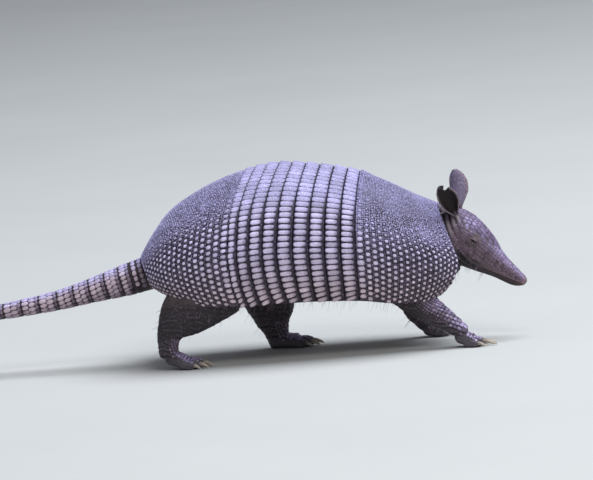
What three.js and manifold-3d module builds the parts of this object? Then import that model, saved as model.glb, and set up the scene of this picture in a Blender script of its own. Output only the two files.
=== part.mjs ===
// A nine-banded armadillo in mid stride, at life size, as a still museum model.
//
// Millimetres, +Z up. The animal walks towards +X with its right side at -Y, and the origin lies
// on the floor under the middle of its length. Every sub-part is one closed solid in its own
// mesh, and neighbours keep a gap of about a third of a millimetre.

import * as THREE from "three";
import { mergeVertices } from "three/addons/utils/BufferGeometryUtils.js";
import Module from "manifold-3d";

const wasm = await Module();
wasm.setup();

// ---------------------------------------------------------------- driving dimensions

const halfLength = 362.3; // from the middle to the nose tip, and to the tail tip
const shellThickness = 4;
const bandWidths = [15.6, 15.6, 15.2, 15.4, 15, 14.2, 13.6, 12.4, 9.8]; // from the front, as shares
const bandLift = 1.8; // how far each band's rear edge stands above the next band
const gap = 0.35; // between neighbouring solids
const stationPitch = 43; // the length of shell between two whole stations

// The shell is laid over three lines that run from tail to neck: the crest along the back,
// the flank where the shell is widest, and the rim where it ends. Each line has one point at
// each station.
const crestLine = curve([
  [-39, 0, 116], [-25, 0, 137], [-4, 0, 161], [30, 0, 181], [67, 0, 194.7], [111, 0, 202],
  [155, 0, 197], [195.5, 0, 187.3], [225, 0, 173.5], [252, 0, 158.5], [276, 0, 147],
]);
const flankLine = curve([
  [-31, 40, 97], [-22, 56, 104], [-8, 68, 110], [19, 75, 114], [58, 77.5, 117], [101, 78, 118],
  [147, 77, 116], [191, 74, 112], [232, 71, 106], [270, 62, 98], [295, 41, 92],
]);
const rimLine = curve([
  [-22, 37, 82], [-12, 49, 77.5], [3.5, 58, 71.5], [30, 64, 64], [66, 67, 61.5], [109, 67, 63],
  [149.5, 66, 61], [190, 64, 58.5], [226, 61, 51.5], [257, 56, 50], [273, 42, 54],
]);
const lastStation = 10;
const bandsFrom = 4; // the bands fill the stations between the two shields
const bandsTo = 7;
const bandEdges = edgesOf(bandWidths);
const shieldSteps = 7;
const shellSegments = 18;
const rimTuck = THREE.MathUtils.degToRad(60); // how far the lower flank turns under

// The belly's lowest line under the shell, and the stations that the trunk is drawn through.
const trunkStations = [0.3, 0.57, 1.14, 1.71, 2.29, 2.86, 4, 5.5, 7, 7.43, 7.86, 8.29, 8.71, 9.14];
const bellyLine = curve([
  [-22, 0, 80], [-14, 0, 70], [1, 0, 62], [24, 0, 57], [61, 0, 56], [105.5, 0, 56],
  [149, 0, 55], [191, 0, 52], [226, 0, 47], [257, 0, 47], [273, 0, 52],
]);

// The head's own frame has +X along the snout and +Z towards the crown.
const headPlace = new THREE.Vector3(295.8, 0, 108);
const headPitch = THREE.MathUtils.degToRad(38); // the snout points down
const headTurn = THREE.MathUtils.degToRad(-5); // and a little to the animal's right
const headStations = [
  { along: -19, top: 24, bottom: -25, half: 19 },
  { along: -12, top: 26.5, bottom: -26.5, half: 21.5 },
  { along: 0, top: 27.3, bottom: -26, half: 22.5 },
  { along: 13, top: 25, bottom: -24, half: 21 },
  { along: 24, top: 22, bottom: -21.8, half: 18 },
  { along: 34, top: 18.3, bottom: -19.3, half: 15 },
  { along: 44, top: 13.8, bottom: -16.4, half: 12.4 },
  { along: 54, top: 10.3, bottom: -13.9, half: 10.6 },
  { along: 64, top: 8.1, bottom: -12.4, half: 9.2 },
  { along: 72, top: 6.3, bottom: -11, half: 8 },
  { along: 78, top: 5, bottom: -8.4, half: 7.4 },
  { along: 81.5, top: 3.8, bottom: -5.6, half: 6.3 },
];
const noseTip = 83.4;
const headSquareness = 2.25; // the power of its oval sections; 2 would be an ellipse
const nosePad = 0.6; // the nose ends in a small flat pad, this share of the last station

const headShield = { from: -17, to: 42, halfAngleBack: 58, halfAngleFront: 34, thick: 1.5 };
const eye = { along: 15, up: 9, radius: 3.9, sunk: 2 };

const ear = { length: 41, half: 11.5, baseHalf: 8.2, thick: 1.5, cupBase: 125, cupTip: 52 };
const earPoses = {
  right: { base: [-18, -15, 21], back: 20, out: 34, face: 62 },
  left: { base: [-19.6, 15, 23.5], back: 4, out: 19, face: 68 },
};

// The tail's centre line and radius, from the rump to the tip.
const tailStations = [
  { at: [-30, 0, 97], r: 18.6 }, { at: [-50, 0, 92.5], r: 17.6 }, { at: [-70, 0, 88], r: 15.6 },
  { at: [-94, 1, 82.7], r: 13.2 }, { at: [-128, 3, 75.2], r: 10.8 },
  { at: [-170, 5, 69.4], r: 9.3 }, { at: [-210, 8, 64.5], r: 7.9 },
  { at: [-250, 12, 55], r: 6.5 }, { at: [-290, 17, 40], r: 5.1 },
  { at: [-328, 22, 22], r: 3.6 }, { at: [-halfLength, 27, 7], r: 1.1 },
];
const tailRings = [-49, -60.4, -76, -93.5, -110.5, -129, -149, -168, -187.5, -206, -223, -239];
const tailRingLift = 0.8;
const tailSides = 10;
const tipSteps = [0.25, 0.5, 0.75, 0.92, 1]; // shares of the smooth tip at which it has a ring
const tailParts = {
  tail_base: [-33, -110.5],
  tail_middle: [-110.5, -223],
  tail_tip: [-223, -halfLength],
};

// Legs run from inside the trunk to the ankle: centre, half width across, half depth fore and aft.
const legs = {
  hind_leg_right: [
    { at: [38, -42, 84], wide: 20, deep: 38 }, { at: [22, -47, 71], wide: 18, deep: 33 },
    { at: [1, -50, 53], wide: 15, deep: 24 }, { at: [-10, -51, 40], wide: 11.5, deep: 14.5 },
    { at: [-13.5, -51, 29], wide: 9.5, deep: 11 }, { at: [-14, -51, 15], wide: 8.6, deep: 10 },
  ],
  hind_leg_left: [
    { at: [76, 40, 84], wide: 20, deep: 34 }, { at: [86, 46, 60], wide: 18, deep: 29 },
    { at: [89, 49, 43], wide: 15, deep: 25 }, { at: [90, 50, 30], wide: 12, deep: 19 },
    { at: [92, 50, 20], wide: 9.8, deep: 14 }, { at: [94, 50, 8], wide: 8.6, deep: 11 },
  ],
  foreleg_right: [
    { at: [232, -36, 68], wide: 15, deep: 21 }, { at: [248, -42, 51.5], wide: 14, deep: 17 },
    { at: [261, -45, 40.5], wide: 12, deep: 14.2 }, { at: [271.5, -47, 33], wide: 10.5, deep: 12 },
    { at: [281, -48, 25.5], wide: 9.4, deep: 10 }, { at: [293, -48.5, 15], wide: 8.6, deep: 8 },
  ],
  foreleg_left: [
    { at: [240, 36, 68], wide: 15, deep: 19 }, { at: [240, 42, 51], wide: 13, deep: 16 },
    { at: [238, 45, 38], wide: 11.4, deep: 12.5 }, { at: [240, 46, 28], wide: 10, deep: 10.5 },
    { at: [246, 46.5, 19.5], wide: 9, deep: 9 }, { at: [254, 47, 10], wide: 8.4, deep: 8 },
  ],
};

// A foot runs from its heel to its ball, and its toes and claws fan out from there.
const hindToes = [
  { side: -10.5, reach: 9, r: 4.2, claw: 8 }, { side: -5.6, reach: 14, r: 4.8, claw: 10.5 },
  { side: 0, reach: 16.5, r: 5, claw: 12 }, { side: 5.6, reach: 14, r: 4.8, claw: 10.5 },
  { side: 10.5, reach: 9, r: 4.2, claw: 8 },
];
const foreToes = [
  { side: -8.4, reach: 8, r: 4, claw: 9.5 }, { side: -3, reach: 12, r: 4.6, claw: 16 },
  { side: 3, reach: 11.5, r: 4.6, claw: 15 }, { side: 8.4, reach: 7.5, r: 4, claw: 8.5 },
];
const pressed = 0.9; // how far the pads would reach below the floor if they weren't flattened
const feet = {
  hind_foot_right: {
    leg: "hind_leg_right", toes: hindToes, heading: -3,
    heel: [-12, -51, 13], heelWide: 9.4, heelDeep: 8, ball: [4, -51, 6.2],
  },
  hind_foot_left: {
    leg: "hind_leg_left", toes: hindToes, heading: 3,
    heel: [89, 50, 7.6], heelWide: 9.6, heelDeep: 8, ball: [114, 50, 6.4],
  },
  forefoot_right: {
    leg: "foreleg_right", toes: foreToes, heading: -6,
    heel: [290, -48.5, 11.5], heelWide: 9, heelDeep: 7.6, ball: [301, -49, 6.6],
  },
  forefoot_left: {
    leg: "foreleg_left", toes: foreToes, heading: 5,
    heel: [253, 47, 9], heelWide: 9, heelDeep: 7.6, ball: [263, 47.5, 6.6],
  },
};

// ---------------------------------------------------------------- materials

const materials = {
  shell: new THREE.MeshStandardMaterial({ color: 0x8f8794, roughness: 0.62, metalness: 0 }),
  skin: new THREE.MeshStandardMaterial({ color: 0x4d4145, roughness: 0.8, metalness: 0 }),
  head: new THREE.MeshStandardMaterial({ color: 0x6f6169, roughness: 0.72, metalness: 0 }),
  ear: new THREE.MeshStandardMaterial({ color: 0x544a54, roughness: 0.75, metalness: 0 }),
  tail: new THREE.MeshStandardMaterial({ color: 0x9c8b8e, roughness: 0.65, metalness: 0 }),
  claw: new THREE.MeshStandardMaterial({ color: 0xb5a794, roughness: 0.45, metalness: 0 }),
  eye: new THREE.MeshStandardMaterial({ color: 0x100c0c, roughness: 0.12, metalness: 0 }),
};

// ---------------------------------------------------------------- shapes

function curve(points) {
  return new THREE.CatmullRomCurve3(points.map((p) => new THREE.Vector3(...p)), false, "catmullrom");
}

function vector(x, y, z) {
  return new THREE.Vector3(x, y, z);
}

// A closed skin over rings of equal count. A round ring is closed by a fan about its middle. A
// flat one runs out along one face and back along the other, and is closed from face to face.
function loft(rings, flat = false) {
  const count = rings[0].length;
  const points = rings.flat();
  const faces = [];
  for (let i = 0; i < rings.length - 1; i++) {
    for (let j = 0; j < count; j++) {
      const a = i * count + j;
      const b = i * count + ((j + 1) % count);
      faces.push(a, b, a + count, b, b + count, a + count);
    }
  }
  for (const ring of [rings[0], rings.at(-1)]) {
    const first = ring === rings[0];
    const start = first ? 0 : (rings.length - 1) * count;
    const face = (a, b, c) => (first ? faces.push(a, c, b) : faces.push(a, b, c));
    if (flat) {
      for (let j = 0; j < count / 2 - 1; j++) {
        const back = count - 1 - j;
        face(start + j, start + j + 1, start + back);
        face(start + j + 1, start + back - 1, start + back);
      }
    } else {
      const middle = ring.reduce((sum, p) => sum.add(p), vector(0, 0, 0)).divideScalar(count);
      points.push(middle);
      for (let j = 0; j < count; j++) face(start + j, start + ((j + 1) % count), points.length - 1);
    }
  }
  return facing(points, faces);
}

// A BufferGeometry with its faces turned outwards.
function facing(points, faces) {
  let volume = 0;
  for (let i = 0; i < faces.length; i += 3) {
    const [a, b, c] = [points[faces[i]], points[faces[i + 1]], points[faces[i + 2]]];
    volume += a.dot(b.clone().cross(c));
  }
  if (volume < 0) faces.reverse();
  return new THREE.BufferGeometry().setFromPoints(points).setIndex(faces);
}

function solid(geometry) {
  const bare = geometry.clone();
  bare.deleteAttribute("normal");
  bare.deleteAttribute("uv");
  const merged = mergeVertices(bare, 1e-3);
  return new wasm.Manifold(
    new wasm.Mesh({
      numProp: 3,
      vertProperties: merged.attributes.position.array,
      triVerts: new Uint32Array(merged.index.array),
    }),
  );
}

function geometryOf(body) {
  const { vertProperties, triVerts } = body.getMesh();
  return new THREE.BufferGeometry()
    .setAttribute("position", new THREE.BufferAttribute(vertProperties, 3))
    .setIndex(new THREE.BufferAttribute(triVerts, 1));
}

// An oval ring round a centre; power 2 is an ellipse and more is squarer.
function ovalRing(centre, across, up, half, top, bottom, sides, power = 2) {
  return Array.from({ length: sides }, (_, j) => {
    const angle = (2 * Math.PI * j) / sides;
    const squared = (v) => Math.sign(v) * Math.abs(v) ** (2 / power);
    const height = Math.cos(angle) > 0 ? top : bottom;
    return centre
      .clone()
      .addScaledVector(across, half * squared(Math.sin(angle)))
      .addScaledVector(up, height * squared(Math.cos(angle)));
  });
}

// A tube of flesh over the stretch of a line of stations that lies between two shares of it.
// Its ends are flat, or rounded by one smaller ring that stands out by a share of their width.
function limb(stations, { sides = 12, steps = 7, from = 0, to = 1, roundStart = 0, roundEnd = 0 } = {}) {
  const line = curve(stations.map((s) => s.at));
  const sizes = curve(stations.map((s) => [s.wide, s.deep, 0]));
  const rings = [];
  const addRing = (t, scale, out) => {
    const along = line.getTangent(t);
    const across = vector(0, 1, 0).addScaledVector(along, -along.y).normalize();
    const up = along.clone().cross(across);
    const size = sizes.getPoint(t).multiplyScalar(scale);
    const centre = line.getPoint(t).addScaledVector(along, out);
    rings.push(ovalRing(centre, across, up, size.x, size.y, size.y, sides));
  };
  if (roundStart) addRing(from, 0.6, -sizes.getPoint(from).x * roundStart);
  for (let i = 0; i <= steps; i++) addRing(THREE.MathUtils.lerp(from, to, i / steps), 1, 0);
  if (roundEnd) addRing(to, 0.6, sizes.getPoint(to).x * roundEnd);
  return loft(rings);
}

// ---------------------------------------------------------------- the shell

// A point of the shell: station 0 to lastStation, side -1 to 1 with 0 at the crest.
function shellPoint(station, side) {
  const t = THREE.MathUtils.clamp(station / lastStation, 0, 1);
  const crest = crestLine.getPoint(t);
  const flank = flankLine.getPoint(t);
  const rim = rimLine.getPoint(t);
  const reach = Math.abs(side);
  const toFlank = 0.58; // the share of a hoop that lies above the flank
  const point = vector(0, 0, 0);
  if (reach < toFlank) {
    const angle = (reach / toFlank) * (Math.PI / 2);
    point.x = THREE.MathUtils.lerp(crest.x, flank.x, 1 - Math.cos(angle));
    point.y = flank.y * Math.sin(angle);
    point.z = THREE.MathUtils.lerp(flank.z, crest.z, Math.cos(angle));
  } else {
    const angle = ((reach - toFlank) / (1 - toFlank)) * rimTuck;
    const inwards = (1 - Math.cos(angle)) / (1 - Math.cos(rimTuck));
    point.x = THREE.MathUtils.lerp(flank.x, rim.x, inwards);
    point.y = THREE.MathUtils.lerp(flank.y, rim.y, inwards);
    point.z = THREE.MathUtils.lerp(flank.z, rim.z, Math.sin(angle) / Math.sin(rimTuck));
  }
  point.y *= -Math.sign(side || 1);
  return point;
}

function shellNormal(station, side) {
  const step = 0.02;
  const alongShell = shellPoint(station + step, side).sub(shellPoint(station - step, side));
  const roundShell = shellPoint(station, side + step).sub(shellPoint(station, side - step));
  return roundShell.cross(alongShell).normalize();
}

function offShell(station, side, lift) {
  return shellPoint(station, side).addScaledVector(shellNormal(station, side), lift);
}

// The sides at which a hoop is sampled; beyond adds one more past each rim.
function shellSides(beyond = 0) {
  const sides = Array.from({ length: shellSegments + 1 }, (_, j) => -1 + (2 * j) / shellSegments);
  return beyond ? [-1 - beyond, ...sides, 1 + beyond] : sides;
}

// A plate of the shell: its profile is a closed outline of [station, lift] pairs, swept from
// one rim over the crest to the other.
function plate(profile, beyond = 0) {
  const rings = [];
  for (const side of shellSides(beyond)) {
    rings.push(profile.map(([station, lift]) => offShell(station, side, lift)));
  }
  return loft(rings, true);
}

function shieldProfile(from, to, steps, liftAtRear) {
  const stations = Array.from({ length: steps + 1 }, (_, i) => from + ((to - from) * i) / steps);
  const outer = stations.map((s, i) => [s, i === 0 ? liftAtRear : 0]);
  const inner = stations.map((s) => [s, -shellThickness]).reverse();
  return [...outer, ...inner];
}

// The stations at which the bands meet, from the front.
function edgesOf(widths) {
  const whole = widths.reduce((sum, width) => sum + width, 0);
  const edges = [bandsTo];
  for (const width of widths) edges.push(edges.at(-1) - ((bandsTo - bandsFrom) * width) / whole);
  return edges;
}

function bandProfile(index) {
  const rear = bandEdges[index + 1] + gap / stationPitch;
  const front = bandEdges[index];
  return [[rear, bandLift], [front, 0], [front, -shellThickness], [rear, -shellThickness]];
}

// ---------------------------------------------------------------- the flesh

// One closed section of the trunk: the shell's underside, and the belly between its rims.
function trunkRing(station, inset) {
  const depth = shellThickness + gap + inset;
  const ring = shellSides().map((side) => offShell(station, side, -depth));
  const low = bellyLine.getPoint(station / lastStation).z + inset;
  const [from, to] = [ring.at(-1), ring[0]];
  const floor = 6;
  for (let j = 1; j < floor; j++) {
    const point = from.clone().lerp(to, j / floor);
    point.z = THREE.MathUtils.lerp(point.z, low, Math.sin((j / floor) * Math.PI) ** 0.6);
    ring.push(point);
  }
  return ring;
}

function trunk(grow = 0) {
  const rings = trunkStations.map((s) => trunkRing(s, -grow));
  const [rear, front] = [trunkStations[0], trunkStations.at(-1)];
  rings.unshift(trunkRing(rear - 0.08 - grow * 0.05, 10 - grow));
  rings.push(trunkRing(front + 0.15 + grow * 0.05, 7 - grow));
  return loft(rings);
}

function headRing(station, grow, sides = 16) {
  const { along, top, bottom, half } = station;
  return ovalRing(
    vector(along, 0, 0), vector(0, 1, 0), vector(0, 0, 1),
    half + grow, top + grow, -(bottom - grow), sides, headSquareness,
  );
}

function head(grow = 0) {
  const rings = headStations.map((s) => headRing(s, grow));
  const { top, bottom, half } = headStations.at(-1);
  const pad = { top: top * nosePad, bottom: bottom * nosePad, half: half * nosePad };
  rings.push(headRing({ along: noseTip + grow, ...pad }, 0));
  return loft(rings);
}

// The head's size part way between two stations.
function headSizeAt(along) {
  const after = headStations.findIndex((s) => s.along >= along);
  const [a, b] = [headStations[after - 1], headStations[after]];
  const t = (along - a.along) / (b.along - a.along);
  const between = (key) => THREE.MathUtils.lerp(a[key], b[key], t);
  return { along, top: between("top"), bottom: between("bottom"), half: between("half") };
}

function headSurface(along, angle, lift) {
  const size = headSizeAt(along);
  const squared = (v) => Math.sign(v) * Math.abs(v) ** (2 / headSquareness);
  const across = (size.half + lift) * squared(Math.sin(angle));
  return vector(along, across, (size.top + lift) * squared(Math.cos(angle)));
}

// The casque: a thin plate on the crown that narrows towards the snout.
function casque() {
  const { from, to, halfAngleBack, halfAngleFront, thick } = headShield;
  const [rows, columns] = [7, 6];
  const under = -1; // sunk into the head, and trimmed to it by a cut
  const rings = [];
  for (let i = 0; i <= rows; i++) {
    const share = i / rows;
    const along = THREE.MathUtils.lerp(from, to, share);
    const halfAngle = THREE.MathUtils.lerp(halfAngleBack, halfAngleFront, share ** 1.5);
    const roundOff = Math.sqrt(Math.sin(Math.PI * THREE.MathUtils.clamp(share, 0.02, 0.98)));
    const half = THREE.MathUtils.degToRad(halfAngle) * (0.55 + 0.45 * roundOff);
    const across = Array.from({ length: columns + 1 }, (_, j) => -half + (2 * half * j) / columns);
    const ring = across.map((a) => headSurface(along, a, thick + gap));
    ring.push(...across.reverse().map((a) => headSurface(along, a, under)));
    rings.push(ring);
  }
  return loft(rings, true);
}

// An ear stands on +Z with its hollow facing +X; it is a tube at its foot and opens upwards.
function earShell() {
  const [rows, columns] = [7, 6];
  const rings = [];
  for (let i = 0; i <= rows; i++) {
    const share = i / rows;
    const swell = Math.sin(Math.PI * Math.min(1, share * 0.86 + 0.14) ** 1.25);
    const spread = THREE.MathUtils.lerp(ear.baseHalf, ear.half, Math.min(1, share * 2.4));
    const half = spread * Math.sqrt(Math.max(0.1, swell));
    const cup = THREE.MathUtils.degToRad(THREE.MathUtils.lerp(ear.cupBase, ear.cupTip, share ** 0.7));
    const radius = (half * 1.25) / cup;
    const wall = (i === rows ? 0.5 : 1) * (ear.thick / 2);
    const surface = (v, off) => {
      const angle = v * cup;
      const r = radius + off;
      return vector(radius - r * Math.cos(angle), r * Math.sin(angle), share * ear.length);
    };
    const across = Array.from({ length: columns + 1 }, (_, j) => -1 + (2 * j) / columns);
    const outer = across.map((v) => surface(v, wall));
    const inner = across.reverse().map((v) => surface(v, -wall));
    rings.push([...outer, ...inner]);
  }
  return loft(rings, true);
}

function neck() {
  return limb(
    [
      { at: [256, 0, 97], wide: 42, deep: 44 },
      { at: [272, 0, 101], wide: 36, deep: 36 },
      { at: [286, 0, 106.5], wide: 27, deep: 31 },
      { at: [299, 0, 107], wide: 21.5, deep: 28 },
    ],
    { sides: 16, steps: 3 },
  );
}

// ---------------------------------------------------------------- the tail

function tailPiece([from, to]) {
  const line = curve(tailStations.map((s) => s.at));
  const sizes = curve(tailStations.map((s) => [s.r, 0, 0]));
  // Finds the place on the line that lies at a given x.
  const placeAt = (x) => {
    let [low, high] = [0, 1];
    for (let i = 0; i < 30; i++) {
      const middle = (low + high) / 2;
      if (line.getPoint(middle).x > x) low = middle;
      else high = middle;
    }
    return low;
  };
  const ringAt = (x, lift) => {
    const t = placeAt(x);
    const along = line.getTangent(t);
    const across = vector(0, 1, 0).addScaledVector(along, -along.y).normalize();
    const r = sizes.getPoint(t).x + lift;
    return ovalRing(line.getPoint(t), across, along.clone().cross(across), r, r, r, tailSides);
  };
  const cuts = tailRings.filter((x) => x < from - 1 && x > to + 1);
  const rings = [ringAt(from - gap, from > -40 ? 0 : -tailRingLift)];
  for (const x of cuts) rings.push(ringAt(x + 0.5, tailRingLift), ringAt(x - 0.5, -tailRingLift));
  if (to > -halfLength) rings.push(ringAt(to, tailRingLift));
  else for (const share of tipSteps) rings.push(ringAt(THREE.MathUtils.lerp(cuts.at(-1), to, share), 0));
  return loft(rings);
}

// ---------------------------------------------------------------- the feet

function toeDirection(foot, toe) {
  const heading = THREE.MathUtils.degToRad(foot.heading + toe.side * 1.6);
  return vector(Math.cos(heading), Math.sin(heading), 0);
}

function toeRoot(foot, toe) {
  const heading = THREE.MathUtils.degToRad(foot.heading);
  return vector(...foot.ball).add(vector(-Math.sin(heading) * toe.side, Math.cos(heading) * toe.side, 0));
}

// A place above a toe's line, some way out from its root.
function onToe(foot, toe, reach, height) {
  return toeRoot(foot, toe).addScaledVector(toeDirection(foot, toe), reach).setZ(height).toArray();
}

function clawShape(foot, toe) {
  const start = toe.reach + 2 * gap;
  const middle = start + toe.claw / 2;
  const tip = start + toe.claw;
  return limb(
    [
      { at: onToe(foot, toe, start, toe.r * 0.95), wide: toe.r * 0.6, deep: toe.r * 0.58 },
      { at: onToe(foot, toe, middle, toe.r * 0.88), wide: toe.r * 0.5, deep: toe.r * 0.46 },
      { at: onToe(foot, toe, tip, toe.r * 0.25), wide: toe.r * 0.16, deep: toe.r * 0.16 },
    ],
    { sides: 6, steps: 2 },
  );
}

function toeShape(foot, toe) {
  return limb(
    [
      { at: onToe(foot, toe, -4, toe.r), wide: toe.r, deep: toe.r + pressed },
      { at: onToe(foot, toe, toe.reach * 0.5, toe.r), wide: toe.r * 0.97, deep: toe.r + pressed },
      { at: onToe(foot, toe, toe.reach, toe.r * 0.9), wide: toe.r * 0.75, deep: toe.r * 0.72 },
    ],
    { sides: 8, steps: 2 },
  );
}

function legShape(foot) {
  return limb(legs[foot.leg], { sides: 10, steps: 6 });
}

// The foot from its heel to the ball, with a gap of grow around it.
function soleShape(foot, grow = 0) {
  const firstToe = foot.toes[0];
  const span = Math.abs(firstToe.side) + firstToe.r;
  const middle = foot.heel.map((value, i) => (value + foot.ball[i]) / 2);
  return limb(
    [
      { at: foot.heel, wide: foot.heelWide + grow, deep: foot.heelDeep + grow },
      { at: middle, wide: (foot.heelWide + span) / 2 + grow, deep: foot.heelDeep * 0.96 + grow },
      { at: foot.ball, wide: span * 0.95 + grow, deep: foot.ball[2] + pressed + grow },
    ],
    { sides: 10, steps: 2, roundStart: 0.45, roundEnd: 0.2 },
  );
}

function footShape(foot) {
  let body = solid(soleShape(foot));
  for (const toe of foot.toes) body = body.add(solid(toeShape(foot, toe)));
  const underFloor = new THREE.BoxGeometry(200, 200, 40).translate(foot.ball[0], foot.ball[1], -20);
  return body.subtract(solid(underFloor));
}

// ---------------------------------------------------------------- assembly

const armadillo = new THREE.Group();

function addPart(parent, name, body, material) {
  const geometry = body instanceof THREE.BufferGeometry ? body : geometryOf(body);
  const mesh = new THREE.Mesh(geometry, material);
  mesh.name = name;
  parent.add(mesh);
  return mesh;
}

function addShell() {
  const pelvic = shieldProfile(0, bandsFrom, shieldSteps, 0);
  addPart(armadillo, "pelvic_shield", plate(pelvic), materials.shell);
  for (let i = 0; i < bandWidths.length; i++) {
    addPart(armadillo, `band_${i + 1}`, plate(bandProfile(i)), materials.shell);
  }
  const seam = gap / stationPitch;
  const scapular = shieldProfile(bandsTo + seam, lastStation, shieldSteps, bandLift);
  addPart(armadillo, "scapular_shield", plate(scapular), materials.shell);
}

// The room that the shell's own wall takes, with a gap all round.
function shellRoom() {
  const stations = [-0.01];
  const addStations = (from, to, count) => {
    for (let i = 1; i <= count; i++) stations.push(THREE.MathUtils.lerp(from, to, i / count));
  };
  addStations(0, bandsFrom, shieldSteps);
  stations.push(...bandEdges.slice(0, -1).reverse());
  addStations(bandsTo, lastStation, shieldSteps);
  const outer = stations.map((s) => [s, bandLift + gap]);
  const inner = stations.map((s) => [s, -shellThickness - gap]).reverse();
  return solid(plate([...outer, ...inner], 0.02));
}

function headMatrix() {
  const turn = new THREE.Quaternion().setFromEuler(new THREE.Euler(0, headPitch, headTurn, "ZYX"));
  return new THREE.Matrix4().compose(headPlace, turn, vector(1, 1, 1));
}

function earMatrix(pose, side) {
  const radians = THREE.MathUtils.degToRad;
  const back = new THREE.Matrix4().makeRotationY(-headPitch - radians(pose.back));
  const out = new THREE.Matrix4().makeRotationX(radians(-side * pose.out));
  const face = new THREE.Matrix4().makeRotationZ(radians(side * pose.face));
  return new THREE.Matrix4().makeTranslation(...pose.base).multiply(back).multiply(out).multiply(face);
}

function addHead() {
  const group = new THREE.Group();
  group.applyMatrix4(headMatrix());
  armadillo.add(group);

  let skull = solid(head());
  const eyes = {};
  for (const [name, side] of [["right", -1], ["left", 1]]) {
    const across = headSizeAt(eye.along).half - eye.sunk;
    const centre = [eye.along, side * across, eye.up];
    const ball = (r) => solid(new THREE.SphereGeometry(r, 10, 7).translate(...centre));
    skull = skull.subtract(ball(eye.radius + gap));
    eyes[name] = ball(eye.radius);
  }
  addPart(group, "head", skull, materials.head);
  const crown = solid(casque()).subtract(solid(head(gap)));
  addPart(group, "head_shield", crown, materials.shell);
  const around = solid(head(gap)).add(solid(casque()).translate([0, 0, gap]));
  for (const [name, side] of [["right", -1], ["left", 1]]) {
    addPart(group, `eye_${name}`, eyes[name], materials.eye);
    const placed = earShell().applyMatrix4(earMatrix(earPoses[name], side));
    addPart(group, `ear_${name}`, solid(placed).subtract(around), materials.ear);
  }
}

function addTrunkAndNeck(shell) {
  addPart(armadillo, "trunk", trunk(), materials.skin);
  const headSpace = solid(head(gap).applyMatrix4(headMatrix()));
  const casqueSpace = solid(casque().applyMatrix4(headMatrix()));
  const throat = solid(neck()).subtract(solid(trunk(gap))).subtract(shell);
  addPart(armadillo, "neck", largest(throat.subtract(headSpace).subtract(casqueSpace)), materials.skin);
}

// The largest of the bodies that a cut leaves.
function largest(body) {
  return body.decompose().sort((a, b) => b.volume() - a.volume())[0];
}

function addLegsAndFeet(shell) {
  const body = solid(trunk(gap)).add(shell);
  for (const [name, foot] of Object.entries(feet)) {
    const leg = solid(legShape(foot)).subtract(body).subtract(solid(soleShape(foot, gap)));
    addPart(armadillo, foot.leg, largest(leg), materials.skin);
    addPart(armadillo, name, footShape(foot), materials.skin);
    foot.toes.forEach((toe, i) => {
      addPart(armadillo, `${name.replace("foot", "claw")}_${i + 1}`, clawShape(foot, toe), materials.claw);
    });
  }
}

function addTail(shell) {
  const body = solid(trunk(gap)).add(shell);
  for (const [name, span] of Object.entries(tailParts)) {
    const piece = solid(tailPiece(span));
    addPart(armadillo, name, name === "tail_base" ? largest(piece.subtract(body)) : piece, materials.tail);
  }
}

const shellSpace = shellRoom();
addShell();
addHead();
addTrunkAndNeck(shellSpace);
addLegsAndFeet(shellSpace);
addTail(shellSpace);

export default armadillo;
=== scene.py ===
import math

import bmesh
import bpy
import numpy as np
from mathutils import Matrix, Vector
from mathutils.bvhtree import BVHTree
from mathutils.kdtree import KDTree


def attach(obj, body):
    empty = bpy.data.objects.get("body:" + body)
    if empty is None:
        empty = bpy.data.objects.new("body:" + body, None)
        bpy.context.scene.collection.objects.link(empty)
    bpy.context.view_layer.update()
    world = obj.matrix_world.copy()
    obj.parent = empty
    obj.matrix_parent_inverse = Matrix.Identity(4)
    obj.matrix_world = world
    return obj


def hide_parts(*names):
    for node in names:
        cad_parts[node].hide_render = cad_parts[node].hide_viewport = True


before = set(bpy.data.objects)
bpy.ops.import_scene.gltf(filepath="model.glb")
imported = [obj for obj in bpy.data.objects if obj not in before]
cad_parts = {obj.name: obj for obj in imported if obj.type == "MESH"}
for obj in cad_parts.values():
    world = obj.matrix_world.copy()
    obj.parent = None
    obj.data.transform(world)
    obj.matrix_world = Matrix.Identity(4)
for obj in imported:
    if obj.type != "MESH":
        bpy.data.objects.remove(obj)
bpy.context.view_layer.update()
bpy.ops.object.select_all(action="DESELECT")
dice = np.random.default_rng(11)
mm = 0.001

# camera: level with the shoulder, a little from the tail side, leaning with the slope
view = {"azimuth": 4, "elevation": 7, "roll": 5, "distance": 6.0, "width": 0.62265,
        "aimAcross": 0.1252, "aimUp": 0.1171}


def placeCamera():
    turn, rise, lean = (math.radians(view[k]) for k in ("azimuth", "elevation", "roll"))
    across = Vector((math.cos(turn), math.sin(turn), 0))
    ahead = Vector((-math.sin(turn) * math.cos(rise), math.cos(turn) * math.cos(rise), -math.sin(rise)))
    upward = across.cross(ahead)
    right = across * math.cos(lean) - upward * math.sin(lean)
    top = upward * math.cos(lean) + across * math.sin(lean)
    aim = across * view["aimAcross"] + upward * view["aimUp"]
    place = aim - ahead * view["distance"]
    bpy.ops.object.camera_add(location=place)
    camera = bpy.context.object
    camera.name = "camera"
    camera.rotation_euler = Matrix((right, top, -ahead)).transposed().to_euler()
    camera.data.sensor_width = 36
    camera.data.lens = 36 * view["distance"] / view["width"]
    camera.data.clip_end = 60
    bpy.context.scene.camera = camera


placeCamera()


# small tools
def smooth(low, high, value):
    share = np.clip((value - low) / (high - low), 0, 1)
    return share * share * (3 - 2 * share)


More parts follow.
